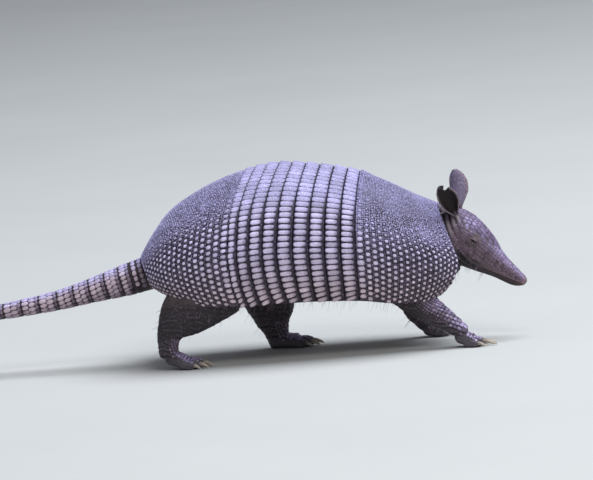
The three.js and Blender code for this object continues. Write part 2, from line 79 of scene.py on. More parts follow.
def curvePoint(points, t):
    p = np.array(points, float)
    p = np.vstack([2 * p[0] - p[1], p, 2 * p[-1] - p[-2]])
    last = len(points) - 1
    at = np.clip(t, 0, 1) * last
    i = np.minimum(at.astype(int), last - 1)
    w = (at - i)[..., None]
    a, b, c, d = p[i], p[i + 1], p[i + 2], p[i + 3]
    early, late = (c - a) / 2, (d - b) / 2
    return (2 * b - 2 * c + early + late) * w**3 + (3 * c - 3 * b - 2 * early - late) * w**2 + early * w + b


def bell(*parts):
    # 1 where each offset is 0, falling off over its width
    return np.exp(-sum((offset / width) ** 2 for offset, width in parts))


def vary(spread):
    return 1 + dice.normal(0, spread)


def mixedTones(middle, spread, count):
    return np.clip(dice.normal(middle, spread, count), 0, 1)


def unit(v):
    return v / np.maximum(np.linalg.norm(v, axis=-1, keepdims=True), 1e-12)


def lengths(points):
    # how far each point of a line lies from its first one, along the line
    return np.concatenate([[0], np.cumsum(np.linalg.norm(np.diff(points, axis=0), axis=1))])


def meshObject(name, points, faces):
    mesh = bpy.data.meshes.new(name)
    mesh.from_pydata([tuple(p) for p in points], [], [tuple(int(i) for i in f) for f in faces])
    mesh.update()
    made = bpy.data.objects.new(name, mesh)
    bpy.context.collection.objects.link(made)
    return made


def choose(*objects):
    bpy.ops.object.select_all(action="DESELECT")
    for piece in objects:
        piece.select_set(True)
    bpy.context.view_layer.objects.active = objects[-1]


def named(name):
    # the piece that an operator has just added
    bpy.context.object.name = name
    return bpy.context.object


def turnOutwards():
    bpy.ops.object.mode_set(mode="EDIT")
    bpy.ops.mesh.select_all(action="SELECT")
    bpy.ops.mesh.normals_make_consistent(inside=False)
    bpy.ops.object.mode_set(mode="OBJECT")


def applyModifier(piece, kind, **settings):
    choose(piece)
    modifier = piece.modifiers.new(kind.lower(), kind)
    for key, value in settings.items():
        setattr(modifier, key, value)
    bpy.ops.object.modifier_apply(modifier=modifier.name)


def readVectors(items, key):
    flat = np.empty(len(items) * 3, np.float32)
    items.foreach_get(key, flat)
    return flat.reshape(-1, 3).astype(float)


def corners(piece):
    return readVectors(piece.data.vertices, "co")


def setCorners(piece, points):
    piece.data.vertices.foreach_set("co", np.asarray(points, np.float32).ravel())
    piece.data.update()


def cornerNormals(piece):
    return readVectors(piece.data.vertex_normals, "vector")


def store(piece, name, values, kind="FLOAT"):
    layer = piece.data.attributes.new(name, kind, "POINT")
    values = np.asarray(values, np.float32)
    if kind == "FLOAT_COLOR":
        values = np.hstack([values, np.ones((len(values), 1), np.float32)])
    layer.data.foreach_set("color" if kind == "FLOAT_COLOR" else "value", values.ravel())


def finishPiece(piece, material, nodes=()):
    piece.data.polygons.foreach_set("use_smooth", [True] * len(piece.data.polygons))
    piece.data.update()
    piece.data.materials.clear()
    piece.data.materials.append(material)
    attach(piece, "root")
    if nodes:
        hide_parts(*nodes)


def triangles(piece):
    return sum(len(p.vertices) - 2 for p in piece.data.polygons)


# the shell's own surface, as stations along the back and sides round the body
shell = {
    "crest": [(-39, 0, 116), (-25, 0, 137), (-4, 0, 161), (30, 0, 181), (67, 0, 194.7), (111, 0, 202),
              (155, 0, 197), (195.5, 0, 187.3), (225, 0, 173.5), (252, 0, 158.5), (276, 0, 147)],
    "flank": [(-31, 40, 97), (-22, 56, 104), (-8, 68, 110), (19, 75, 114), (58, 77.5, 117), (101, 78, 118),
              (147, 77, 116), (191, 74, 112), (232, 71, 106), (270, 62, 98), (295, 41, 92)],
    "rim": [(-22, 37, 82), (-12, 49, 77.5), (3.5, 58, 71.5), (30, 64, 64), (66, 67, 61.5), (109, 67, 63),
            (149.5, 66, 61), (190, 64, 58.5), (226, 61, 51.5), (257, 56, 50), (273, 42, 54)],
    "belly": [(-22, 0, 80), (-14, 0, 70), (1, 0, 62), (24, 0, 57), (61, 0, 56), (105.5, 0, 56),
              (149, 0, 55), (191, 0, 52), (226, 0, 47), (257, 0, 47), (273, 0, 52)],
    "toFlank": 0.58, "tuck": math.radians(60), "lastStation": 10, "bandsFrom": 4, "bandsTo": 7,
    "bandWidths": (15.6, 15.6, 15.2, 15.4, 15, 14.2, 13.6, 12.4, 9.8), "bandLift": 1.8, "gap": 0.35,
    "pitch": 43,  # mm of shell between two whole stations
    "lean": ((0.8, 3.9, 4.4, 5.5, 7, 9), (0, 0.3, 0.3, 0.19, 0.09, 0)), "leanTo": 0.45,
}


def shellPoint(station, side):
    station, side = np.broadcast_arrays(np.asarray(station, float), np.asarray(side, float))
    # the seams lean forward towards the crest, most of all behind
    upwards = 0.5 + 0.5 * np.cos(math.pi * np.clip(np.abs(side) / shell["leanTo"], 0, 1))
    station = station + upwards * np.interp(station, *shell["lean"])
    t = np.clip(station / shell["lastStation"], 0, 1)
    crest, flank, rim = (curvePoint(shell[k], t) for k in ("crest", "flank", "rim"))
    reach, toFlank, tuck = np.abs(side), shell["toFlank"], shell["tuck"]
    upper = reach < toFlank
    angle = np.where(upper, reach / toFlank * math.pi / 2, (reach - toFlank) / (1 - toFlank) * tuck)
    inwards = (1 - np.cos(angle)) / (1 - math.cos(tuck))
    cosine, sine = np.cos(angle), np.sin(angle)
    x = np.where(upper, crest[..., 0] + (flank[..., 0] - crest[..., 0]) * (1 - cosine),
                 flank[..., 0] + (rim[..., 0] - flank[..., 0]) * inwards)
    y = np.where(upper, flank[..., 1] * sine, flank[..., 1] + (rim[..., 1] - flank[..., 1]) * inwards)
    z = np.where(upper, flank[..., 2] + (crest[..., 2] - flank[..., 2]) * cosine,
                 flank[..., 2] + (rim[..., 2] - flank[..., 2]) * sine / math.sin(tuck))
    return np.stack([x, -y * np.where(side < 0, -1, 1), z], -1)


def shellNormal(station, side):
    step = 0.02
    station, side = np.broadcast_arrays(np.asarray(station, float), np.asarray(side, float))
    along = shellPoint(station + step, side) - shellPoint(station - step, side)
    around = shellPoint(station, side + step) - shellPoint(station, side - step)
    return unit(np.cross(around, along))


def offShell(station, side, lift):
    lift = np.asarray(lift, float)
    return (shellPoint(station, side) + shellNormal(station, side) * lift[..., None]) * mm


def bandEdges(index):
    # the rear and front stations of a band, counted from the front
    span = shell["bandsTo"] - shell["bandsFrom"]
    widths = np.array(shell["bandWidths"]) * span / sum(shell["bandWidths"])
    front = shell["bandsTo"] - widths[:index].sum()
    return front - widths[index], front


# materials
def nodeIn(tree, kind, inputs=None, **settings):
    node = tree.nodes.new(f"ShaderNode{kind}")
    for key, value in settings.items():
        setattr(node, key, value)
    for key, value in (inputs or {}).items():
        if isinstance(value, bpy.types.NodeSocket):
            tree.links.new(value, node.inputs[key])
        else:
            node.inputs[key].default_value = value
    return node


def sums(tree, operation, a, b=0.0, c=0.0, clamp=False):
    return nodeIn(tree, "Math", {0: a, 1: b, 2: c}, operation=operation, use_clamp=clamp).outputs[0]


def blendColour(tree, share, a, b, kind="MIX"):
    node = nodeIn(tree, "Mix", {0: share, 6: a, 7: b}, data_type="RGBA", blend_type=kind)
    return node.outputs[2]


def ramp(tree, value, low, high):
    settings = {"Value": value, "From Min": low, "From Max": high}
    return nodeIn(tree, "MapRange", settings, interpolation_type="SMOOTHSTEP").outputs[0]


def noise(tree, place, scale, detail=3.0, rough=0.55):
    settings = {"Vector": place, "Scale": scale, "Detail": detail, "Roughness": rough}
    return nodeIn(tree, "TexNoise", settings)


def cellsIn(tree, place, scale, **settings):
    return nodeIn(tree, "TexVoronoi", {"Vector": place, "Scale": scale}, **settings).outputs["Distance"]


def shaded(tree, body, shade):
    # a colour made darker or paler all alike
    grey = nodeIn(tree, "CombineXYZ", {0: shade, 1: shade, 2: shade}).outputs[0]
    return blendColour(tree, 1.0, body, grey, "MULTIPLY")


def colour(red, green, blue):
    return tuple(((v / 255 + 0.055) / 1.055) ** 2.4 for v in (red, green, blue)) + (1.0,)


def newGroup(name, inputs):
    group = bpy.data.node_groups.new(name, "ShaderNodeTree")
    for label, kind, value in inputs:
        socket = group.interface.new_socket(label, in_out="INPUT", socket_type=f"NodeSocket{kind}")
        if value is not None:
            socket.default_value = value
    for label, kind in (("Color", "Color"), ("Roughness", "Float"), ("Height", "Float")):
        group.interface.new_socket(label, in_out="OUTPUT", socket_type=f"NodeSocket{kind}")
    return group, group.nodes.new("NodeGroupInput").outputs, group.nodes.new("NodeGroupOutput").inputs


def putOut(group, out, **values):
    for label, value in values.items():
        group.links.new(value, out[label])


def scuteGroup():
    # horn: dark in the grooves, paler towards each crown, with mottling and pits; a painted sky sheen on the
    # back and a painted sky tint, bluish above and warmer below
    group, given, out = newGroup("hornyScute", [
        ("Place", "Vector", None), ("Crown", "Float", 0.5), ("Tone", "Float", 0.5), ("Dorsal", "Float", 0.0),
        ("Paintedskylight", "Float", 0.5), ("Groove", "Color", None), ("Horn", "Color", None), ("Crest", "Color", None),
        ("Bloom", "Color", None)])
    place, crown, dorsal = given["Place"], given["Crown"], given["Dorsal"]
    wide = noise(group, place, 38.0, 4.0).outputs[0]
    fine = noise(group, place, 420.0, 4.0, 0.65).outputs[0]
    crownShare = sums(group, "ADD", crown, sums(group, "MULTIPLY_ADD", fine, 1.0, -0.5))
    top = blendColour(group, ramp(group, crownShare, 0.42, 1.05), given["Horn"], given["Crest"])
    body = blendColour(group, ramp(group, crownShare, 0.02, 0.42), given["Groove"], top)
    # the back's lavender: partly its own colour and partly a painted reflection of the sky, most on the
    # crowns
    bloom = sums(group, "MULTIPLY", dorsal, ramp(group, sums(group, "ADD", wide, crown), 0.3, 1.1))
    body = blendColour(group, sums(group, "MULTIPLY", bloom, 0.9), body, given["Bloom"])
    grit = sums(group, "MULTIPLY", ramp(group, cellsIn(group, place, 620.0), 0.35, 0.75), dorsal)
    body = blendColour(group, sums(group, "MULTIPLY", grit, 0.38), body, given["Groove"])
    shade = sums(group, "MULTIPLY_ADD", given["Tone"], 0.5, 0.74)
    shade = sums(group, "MULTIPLY", shade, sums(group, "MULTIPLY_ADD", wide, 0.5, 0.75))
    body = shaded(group, body, shade)
    # painted sky light: a bluish tint on top and a warmer one towards the rim and below
    paintedSkyTint = blendColour(group, given["Paintedskylight"], (0.84, 0.73, 0.73, 1), (0.97, 0.95, 1.18, 1))
    body = blendColour(group, 1.0, body, paintedSkyTint, "MULTIPLY")
    pits = sums(group, "MULTIPLY", cellsIn(group, place, 900.0), 0.5)
    height = sums(group, "ADD", sums(group, "MULTIPLY", fine, 0.6), pits)
    height = sums(group, "MULTIPLY_ADD", grit, -0.9, height)
    putOut(group, out, Color=body, Roughness=sums(group, "MULTIPLY_ADD", fine, 0.3, 0.42), Height=height)
    return group


def wrinkleGroup():
    # bare skin: a net of fine cells, with long wrinkles that cross the limb where asked
    group, given, out = newGroup("bareSkin", [
        ("Place", "Vector", None), ("Paint", "Color", None), ("Cells", "Float", 420.0),
        ("Wrinkle", "Float", 0.0)])
    place, wrinkle = given["Place"], given["Wrinkle"]
    wide = noise(group, place, 60.0, 4.0).outputs[0]
    fine = noise(group, place, 700.0, 3.0, 0.6).outputs[0]
    drift = {0: noise(group, place, 90.0, 3.0).outputs[1], "Scale": 0.006}
    drift = nodeIn(group, "VectorMath", drift, operation="SCALE").outputs[0]
    bent = nodeIn(group, "VectorMath", {0: place, 1: drift}, operation="ADD").outputs[0]
    net = ramp(group, cellsIn(group, bent, given["Cells"], feature="DISTANCE_TO_EDGE"), 0.0, 0.16)
    slope = nodeIn(group, "Mapping", {"Vector": bent, "Rotation": (0.0, 0.3, 0.0)}).outputs[0]
    waves = {"Vector": slope, "Scale": 105.0, "Distortion": 11.0, "Detail": 3.0, "Detail Scale": 1.3}
    lines = nodeIn(group, "TexWave", waves, bands_direction="Z").outputs["Fac"]
    lines = sums(group, "MULTIPLY", lines, sums(group, "MAXIMUM", wrinkle, 0.0))
    # where Wrinkle is below 0 there are small raised pebbles instead, as on the ears
    pebbled = sums(group, "MULTIPLY", wrinkle, -1.0, clamp=True)
    pebbles = sums(group, "MULTIPLY", ramp(group, cellsIn(group, place, 430.0), 0.55, 0.1), pebbled)
    relief = sums(group, "ADD", sums(group, "MULTIPLY", net, 0.4), sums(group, "MULTIPLY", lines, 0.9))
    shade = sums(group, "MULTIPLY_ADD", wide, 0.55, 0.42)
    # painted highlight and shade: raised cells, wrinkle crests and pebbles are painted paler and the creases
    # between them darker, on top of the bump
    shade = sums(group, "ADD", shade, sums(group, "MULTIPLY", relief, 0.38))
    shade = sums(group, "MULTIPLY_ADD", pebbles, 0.55, shade)
    relief = sums(group, "MULTIPLY_ADD", pebbles, 0.8, relief)
    putOut(group, out, Color=shaded(group, given["Paint"], shade),
           Roughness=sums(group, "MULTIPLY_ADD", fine, 0.25, 0.5),
           Height=sums(group, "ADD", relief, sums(group, "MULTIPLY", fine, 0.3)))
    return group


scuteNodes, skinNodes = scuteGroup(), wrinkleGroup()


def newMaterial(name, specular=0.45):
    material = bpy.data.materials.new(name)
    material.use_nodes = True
    tree = material.node_tree
    shader = tree.nodes["Principled BSDF"]
    shader.inputs["Specular IOR Level"].default_value = specular
    place = nodeIn(tree, "TexCoord").outputs["Object"]
    return material, tree, shader, place


def attribute(tree, name):
    return nodeIn(tree, "Attribute", attribute_name=name)


def addBump(tree, shader, height, strength, distance):
    bump = nodeIn(tree, "Bump", {"Strength": strength, "Distance": distance, "Height": height})
    tree.links.new(bump.outputs[0], shader.inputs["Normal"])


def joinShader(tree, shader, group, strength, distance):
    tree.links.new(group.outputs["Color"], shader.inputs["Base Color"])
    tree.links.new(group.outputs["Roughness"], shader.inputs["Roughness"])
    addBump(tree, shader, group.outputs["Height"], strength, distance)


def scuteMaterial(name, groove, horn, crest, bloom, strength):
    material, tree, shader, place = newMaterial(name)
    group = nodeIn(tree, "Group", node_tree=scuteNodes)
    for label, tint in (("Groove", groove), ("Horn", horn), ("Crest", crest), ("Bloom", bloom)):
        group.inputs[label].default_value = colour(*tint)
    tree.links.new(place, group.inputs["Place"])
    for label in ("Crown", "Tone", "Dorsal", "Paintedskylight"):
        tree.links.new(attribute(tree, label.lower()).outputs["Fac"], group.inputs[label])
    joinShader(tree, shader, group, strength, 0.0004)
    return material


def skinMaterial():
    material, tree, shader, place = newMaterial("hide", 0.35)
    group = nodeIn(tree, "Group", node_tree=skinNodes)
    tree.links.new(place, group.inputs["Place"])
    tree.links.new(attribute(tree, "paint").outputs["Color"], group.inputs["Paint"])
    tree.links.new(attribute(tree, "wrinkle").outputs["Fac"], group.inputs["Wrinkle"])
    group.inputs["Cells"].default_value = 820.0
    joinShader(tree, shader, group, 0.6, 0.0006)
    return material


horns = {  # the tints of the groove, the horn, its pale top, and the back's lavender with its painted sky sheen, and the relief
    "shellHorn": ((50, 42, 54), (144, 134, 151), (234, 225, 235), (186, 182, 208), 0.5),
    "tailHorn": ((48, 38, 46), (144, 130, 142), (228, 213, 214), (208, 204, 232), 0.5),
    "faceHorn": ((66, 53, 60), (128, 110, 124), (206, 190, 206), (150, 142, 178), 0.4),
    "limbHorn": ((40, 32, 38), (122, 108, 124), (200, 186, 200), (170, 162, 196), 0.4),
}
shellHorn, tailHorn, faceHorn, limbHorn = (scuteMaterial(name, *tints) for name, tints in horns.items())
hide = skinMaterial()


def clawMaterial():
    material, tree, shader, place = newMaterial("clawHorn", 0.5)
    along = attribute(tree, "along").outputs["Fac"]
    streaks = nodeIn(tree, "Mapping", {"Vector": place, "Scale": (60.0, 900.0, 900.0)}).outputs[0]
    grain = noise(tree, streaks, 1.0, 4.0).outputs[0]
    body = blendColour(tree, ramp(tree, sums(tree, "MULTIPLY_ADD", grain, 0.4, along), 0.1, 1.1),
                       colour(92, 78, 72), colour(196, 184, 168))
    tree.links.new(body, shader.inputs["Base Color"])
    tree.links.new(sums(tree, "MULTIPLY_ADD", grain, 0.3, 0.28), shader.inputs["Roughness"])
    addBump(tree, shader, grain, 0.3, 0.0002)
    return material


def eyeMaterial():
    material, tree, shader, place = newMaterial("wetEye", 0.25)
    depth = noise(tree, place, 900.0, 3.0).outputs[0]
    body = blendColour(tree, depth, colour(10, 7, 7), colour(44, 30, 24))
    tree.links.new(body, shader.inputs["Base Color"])
    tree.links.new(sums(tree, "MULTIPLY_ADD", depth, 0.06, 0.12), shader.inputs["Roughness"])
    shader.inputs["Coat Weight"].default_value = 0.15
    shader.inputs["Coat Roughness"].default_value = 0.03
    return material


clawHorn, wetEye = clawMaterial(), eyeMaterial()
print("materials made")


# scute moulds, modelled once and laid many times
def makeMould(name, sides, steps, dome):
    # a disc is drawn up and in through each step, then its top is poked into a low dome
    bpy.ops.mesh.primitive_circle_add(vertices=sides, radius=1, fill_type="NGON")
    mould = named(name)
    bpy.ops.object.mode_set(mode="EDIT")
    bpy.ops.mesh.select_all(action="SELECT")
    reach = 1.0
    for rise, spread in steps:
        bpy.ops.mesh.extrude_region_move(TRANSFORM_OT_translate={"value": (0, 0, rise)})
        bpy.ops.transform.resize(value=(spread / reach, spread / reach, 1))
        reach = spread
    bpy.ops.mesh.poke(offset=dome)
    bpy.ops.object.mode_set(mode="OBJECT")
    turnOutwards()
    points = corners(mould)
    faces = [tuple(p.vertices) for p in mould.data.polygons]
    bpy.data.objects.remove(mould)
    return points, faces


def squared(points, power):
    # pulls a round outline towards a rectangle
    angle = np.arctan2(points[:, 1], points[:, 0])
    reach = np.hypot(points[:, 0], points[:, 1])
    rounding = (np.abs(np.cos(angle)) ** power + np.abs(np.sin(angle)) ** power) ** (-1 / power)
    return np.stack([np.cos(angle) * reach * rounding, np.sin(angle) * reach * rounding, points[:, 2]], 1)


pillowMould = makeMould("pillowMould", 14, [(0.45, 1.0), (0.28, 0.93), (0.17, 0.74)], 0.06)
tileMould = makeMould("tileMould", 10, [(0.45, 1.0), (0.30, 0.88), (0.18, 0.6)], 0.05)
hexMould = makeMould("hexMould", 8, [(0.5, 1.0), (0.3, 0.93), (0.2, 0.72)], 0.05)
grainMould = makeMould("grainMould", 6, [(0.85, 0.66)], 0.15)


def crownOf(mould):
    heights = mould[0][:, 2]
    return np.clip((heights - 0.30) / (heights.max() - 0.30), 0, 1)


def copiesOf(mould, count):
    # the faces of so many copies of a mould, each with its own corners
    points, faces = mould
    size = len(points)
    made = []
    for base in range(0, count * size, size):
        made.extend(tuple(base + i for i in face) for face in faces)
    return made


sunkShare = 0.45  # of a scute's height that is sunk into what it lies on


def layOnSheet(mould, spots, toSheet):
    # spots: rows of (u, v, halfU, halfV, height, power, rise); toSheet takes each corner's u, v and lift
    points = mould[0]
    laid = np.empty((len(spots), len(points), 3))
    for i, spot in enumerate(spots):
        local = squared(points, spot[5])
        laid[i, :, 0] = spot[0] + local[:, 0] * spot[2]
        laid[i, :, 1] = spot[1] + local[:, 1] * spot[3] + local[:, 0] * spot[6]
        laid[i, :, 2] = (local[:, 2] - sunkShare) * spot[4]
    return toSheet(laid)


def bakeMap(piece, mould, places, patch=0.003):
    # each scute is one small patch at its own place on an unwrap of what it lies on
    layer = piece.data.uv_layers.new(name="OFBake")
    points = mould[0][:, :2]
    size = len(points)
    loops = np.empty(len(piece.data.loops), np.int32)
    piece.data.loops.foreach_get("vertex_index", loops)
    spread = np.clip(places, 0.003, 0.997)[loops // size] + points[loops % size] * patch / 2
    layer.data.foreach_set("uv", spread.astype(np.float32).ravel())


# shell plates: dark ground under the scutes
plates = {"thick": 3.0, "ground": -0.85, "columns": 60, "rows": 132, "bandColumns": 14,
          "skinUnder": 4.35}  # the skin lies so far under the shell's own surface


def dorsalOf(side, wider=0.0):
    # 1 along the back, where the scutes melt into a fine grain and the painted sky sheen lies, to 0 on the
    # flanks
    return smooth(0.46 + wider, 0.27 + 0.6 * wider, np.abs(side))


def paintedSkyLightOf(side):
    # painted sky light: bluish above and warmer towards the rim
    return smooth(0.95, 0.45, np.abs(side))


def bandLiftAt(station, rear, front):
    return shell["bandLift"] * (front - station) / (front - rear)


def addPlate(name, node, rear, front, columns, liftAt, grained, wider=0.0):
    rows = plates["rows"]
    bpy.ops.mesh.primitive_grid_add(x_subdivisions=columns, y_subdivisions=rows, size=2, location=(0, 0, 0))
    plate = named(name)
    flat = corners(plate)
    share = (flat[:, 0] + 1) / 2
    station, side = rear + (front - rear) * share, -flat[:, 1]
    # the edges turn down a little, most of all behind
    lip = -0.7 * smooth(0.06, 0.0, share) - 0.5 * smooth(0.94, 1.0, share)
    lip = lip - 0.6 * smooth(0.97, 1.0, np.abs(side))
    setCorners(plate, offShell(station, side, liftAt(station) + plates["ground"] + lip))
    back = dorsalOf(side, wider)
    crown = 0.38 * back * smooth(-0.1, -0.3, lip) - 0.05 if grained else np.full(len(flat), 0.06)
    store(plate, "crown", crown)
    store(plate, "tone", np.full(len(flat), 0.45))
    store(plate, "dorsal", back * (0.8 if grained else 0.2))
    store(plate, "paintedskylight", paintedSkyLightOf(side))
    applyModifier(plate, "SOLIDIFY", thickness=plates["thick"] * mm, offset=-1)
    finishPiece(plate, shellHorn, [node])


def shieldLift(station):
    return shell["bandLift"] * np.clip((7.43 - station) / 0.43, 0, 1) * (station >= 7)


seam = shell["gap"] / shell["pitch"]
addPlate("pelvicPlate", "pelvic_shield", 0, 4, plates["columns"], lambda s: s * 0.0, True)
addPlate("scapularPlate", "scapular_shield", 7 + seam, 10, plates["columns"], shieldLift, True, 0.12)
for index in range(len(shell["bandWidths"])):
    rear, front = bandEdges(index)
    addPlate(f"bandPlate{index + 1}", f"band_{index + 1}", rear + seam, front, plates["bandColumns"],
             lambda s, r=rear, f=front: bandLiftAt(s, r, f), False)
print("plates made")


# scutes in hoops over the plates
class Hoop:
    # one hoop round the shell at a station, measured along its arc from the crest; + is the right side
    def __init__(self, station):
        self.sides = np.linspace(0, 1.05, 170)
        points = shellPoint(station, self.sides)
        self.arcs = lengths(points)
        self.flank = float(np.interp(shell["toFlank"], self.sides, self.arcs))
        self.rim = float(np.interp(1.0, self.sides, self.arcs))

    def side(self, arc):
        return np.interp(np.abs(arc), self.arcs, self.sides) * np.sign(arc)


def layHoop(mould, hoop, spots, liftAt):
    # spots: station, arc, half length in stations, half width, height, power, rise
    def toSheet(laid):
        side = hoop.side(laid[..., 1])
        return offShell(laid[..., 0], side, laid[..., 2] + liftAt(laid[..., 0]) + plates["ground"])

    turned = [(s, a, u, -v, h, p, k) for s, a, u, v, h, p, k in spots]
    return layOnSheet(mould, turned, toSheet)


def scutePiece(name, mould, laid, tones, dorsal, paintedskylight, places, material=shellHorn, crown=None):
    laid = np.asarray(laid)
    count, size = laid.shape[:2]
    piece = meshObject(name, laid.reshape(-1, 3), copiesOf(mould, count))
    crowns = crownOf(mould) if crown is None else crown
    store(piece, "crown", np.tile(crowns, count) if crowns.ndim == 1 else crowns.ravel())
    for label, values in (("tone", tones), ("dorsal", dorsal), ("paintedskylight", paintedskylight)):
        store(piece, label, np.repeat(values, size))
    bakeMap(piece, mould, np.asarray(places))
    finishPiece(piece, material)


class Rows:
    # copies of a mould that are laid hoop by hoop, with each one's side and its place on the unwrap
    def __init__(self, mould, low, high):
        self.mould, self.low, self.high = mould, low, high
        self.laid, self.sides, self.places = [], [], []

    def add(self, hoop, spots, liftAt):
        self.laid.append(layHoop(self.mould, hoop, spots, liftAt))
        sides = hoop.side(np.array([s[1] for s in spots]))
        self.sides.append(sides)
        span = self.high - self.low
        self.places += [((s[0] - self.low) / span, (side + 1) / 2) for s, side in zip(spots, sides)]

    def join(self):
        return np.concatenate(self.laid), np.concatenate(self.sides)


bands = {"perHoop": 60, "behind": 0.4, "gap": 2.7, "crestGap": 1.0, "fill": 0.43, "crestFill": 0.496,
         "height": 1.75, "crestHeight": 0.95, "power": 3.4, "crestPower": 7.0}


def addBandScutes():
    rows = Rows(pillowMould, shell["bandsFrom"], shell["bandsTo"])
    for index in range(len(shell["bandWidths"])):
        rear, front = bandEdges(index)
        width = (front - rear) * shell["pitch"]
        hoop = Hoop((rear + front) / 2)
        pitch = hoop.rim / (bands["perHoop"] / 2)
        spots = []
        for k in range(-bands["perHoop"] // 2, bands["perHoop"] // 2):
            arc = (k + 0.5) * pitch
            back = float(dorsalOf(hoop.side(arc)))
            loose = 1 - back
            low = float(smooth(0.5, 1.0, abs(hoop.side(arc))))
            toRim = (hoop.rim - abs(arc)) / pitch
            mixed = {key: bands[key] + (bands["crest" + key.capitalize()] - bands[key]) * back
                     for key in ("gap", "fill", "height", "power")}
            length = (width - mixed["gap"] - bands["behind"]) * (1 + dice.normal(0, 0.025) * loose)
            start = bands["behind"] + dice.normal(0, 0.15) * loose
            # towards the rim the scutes tip up in front, and the last few fan out and shorten
            fan = float(smooth(3.6, 0.2, toRim))
            rise = -math.copysign(0.75 * low + 0.9 * fan, arc)
            length *= 1 - 0.1 * fan
            station = rear + (start + length / 2 + 0.6 * fan) / shell["pitch"]
            arc = arc + dice.normal(0, 0.1) * loose
            half = pitch * mixed["fill"] * (1 + dice.normal(0, 0.05) * loose) * (1 - 0.12 * fan)
            height = mixed["height"] * (1 + dice.normal(0, 0.09) * loose)
            spots.append((station, arc, length / 2 / shell["pitch"], half, height, mixed["power"], rise))
        rows.add(hoop, spots, lambda s, r=rear, f=front: bandLiftAt(s, r, f))
    laid, sides = rows.join()
    tones = mixedTones(0.5, 0.2, len(laid))
    # towards the front, under the overhang of the band in front, the scutes are duller: partly painted shade
    crown = crownOf(pillowMould) - 0.3 * smooth(-0.1, 1.0, pillowMould[0][:, 0])  # duller towards the front
    scutePiece("bandScutes", pillowMould, laid, tones, dorsalOf(sides), paintedSkyLightOf(sides), rows.places,
               crown=crown)


shields = {  # no scutes stand nearer to the crest than the side where a shield is bare
    "pelvic": {"from": 4.0, "to": 0.0, "first": 1.5, "early": 1.22, "pitch": 6.2, "last": 5.3,
               "lift": lambda s: s * 0.0, "wider": 0.0, "bare": 0.27, "uneven": 0.42},
    "scapular": {"from": 7.0, "to": 10.0, "first": 1.35, "early": 1.08, "pitch": 6.1, "last": 5.6,
                 "lift": shieldLift, "wider": 0.12, "bare": 0.31, "uneven": 0.26},
    "rows": 18, "grain": 2.05, "clear": 0.62,
    "fillRows": (0, 1, 4, 8), "fillAlong": (0.84, 0.74, 0.7, 0.6), "fillAcross": (0.42, 0.36, 0.34, 0.3),
}


def flankStations(rowPitches, start, end):
    # the stations where rows of these relative lengths meet, measured along the flank
    stations = np.linspace(start, end, 300)
    reach = lengths(shellPoint(stations, 0.5))
    ends = np.concatenate([[0], np.cumsum(rowPitches)]) / sum(rowPitches) * reach[-1]
    return np.interp(ends, reach, stations), reach[-1]


def rowArcs(hoop, pitch, offset):
    # from the flank up to the crest and down to the rim, mirrored on the other side
    upper = np.arange(hoop.flank - offset * pitch, 0.36 * pitch, -pitch)
    lower = np.arange(hoop.flank + (1 - offset) * pitch, hoop.rim - 0.34 * pitch, pitch)
    arcs = np.concatenate([upper, lower])
    crestGap = 2 * upper.min() if len(upper) else 0
    middle = [0.0] if crestGap > 1.5 * pitch else []
    return np.concatenate([arcs, -arcs, middle])


def hoopsOf(edges):
    # each row's station, its half length in stations and its hoop
    for row in range(len(edges) - 1):
        station = (edges[row] + edges[row + 1]) / 2
        yield row, station, abs(edges[row + 1] - edges[row]) / 2, Hoop(station)


def addShieldScutes(key):
    part, count = shields[key], shields["rows"]
    sizes = np.interp(np.arange(count), [0, 1, 5, count - 1], [part["first"], part["early"], 1.0, 0.86])
    edges, _ = flankStations(sizes, part["from"], part["to"])
    rows = Rows(tileMould, *sorted((part["from"], part["to"])))
    for row, station, half, hoop in hoopsOf(edges):
        pitch = part["pitch"] + (part["last"] - part["pitch"]) * (row / (count - 1))
        fillU = np.interp(row, shields["fillRows"], shields["fillAlong"])
        fillV = np.interp(row, shields["fillRows"], shields["fillAcross"])
        spots = []
        for arc in rowArcs(hoop, pitch, 0.5 * (row % 2)):
            at = abs(float(hoop.side(arc)))
            if at < part["bare"]:
                continue
            grow = (0.5 + 0.5 * float(smooth(part["bare"], 0.5 + part["wider"], at))) * vary(0.07)
            spots.append((station + dice.normal(0, 0.03) * half, arc + dice.normal(0, 0.16),
                          half * fillU * grow, pitch * fillV * grow, (1.1 + 0.6 * grow) * vary(0.1),
                          2.9 if row < 3 else 2.4, 0.0))
        rows.add(hoop, spots, part["lift"])
    laid, sides = rows.join()
    tones, back = mixedTones(0.55, 0.2, len(laid)), dorsalOf(sides, part["wider"])
    scutePiece(f"{key}Scutes", tileMould, laid, tones, back, paintedSkyLightOf(sides), rows.places)
    return laid


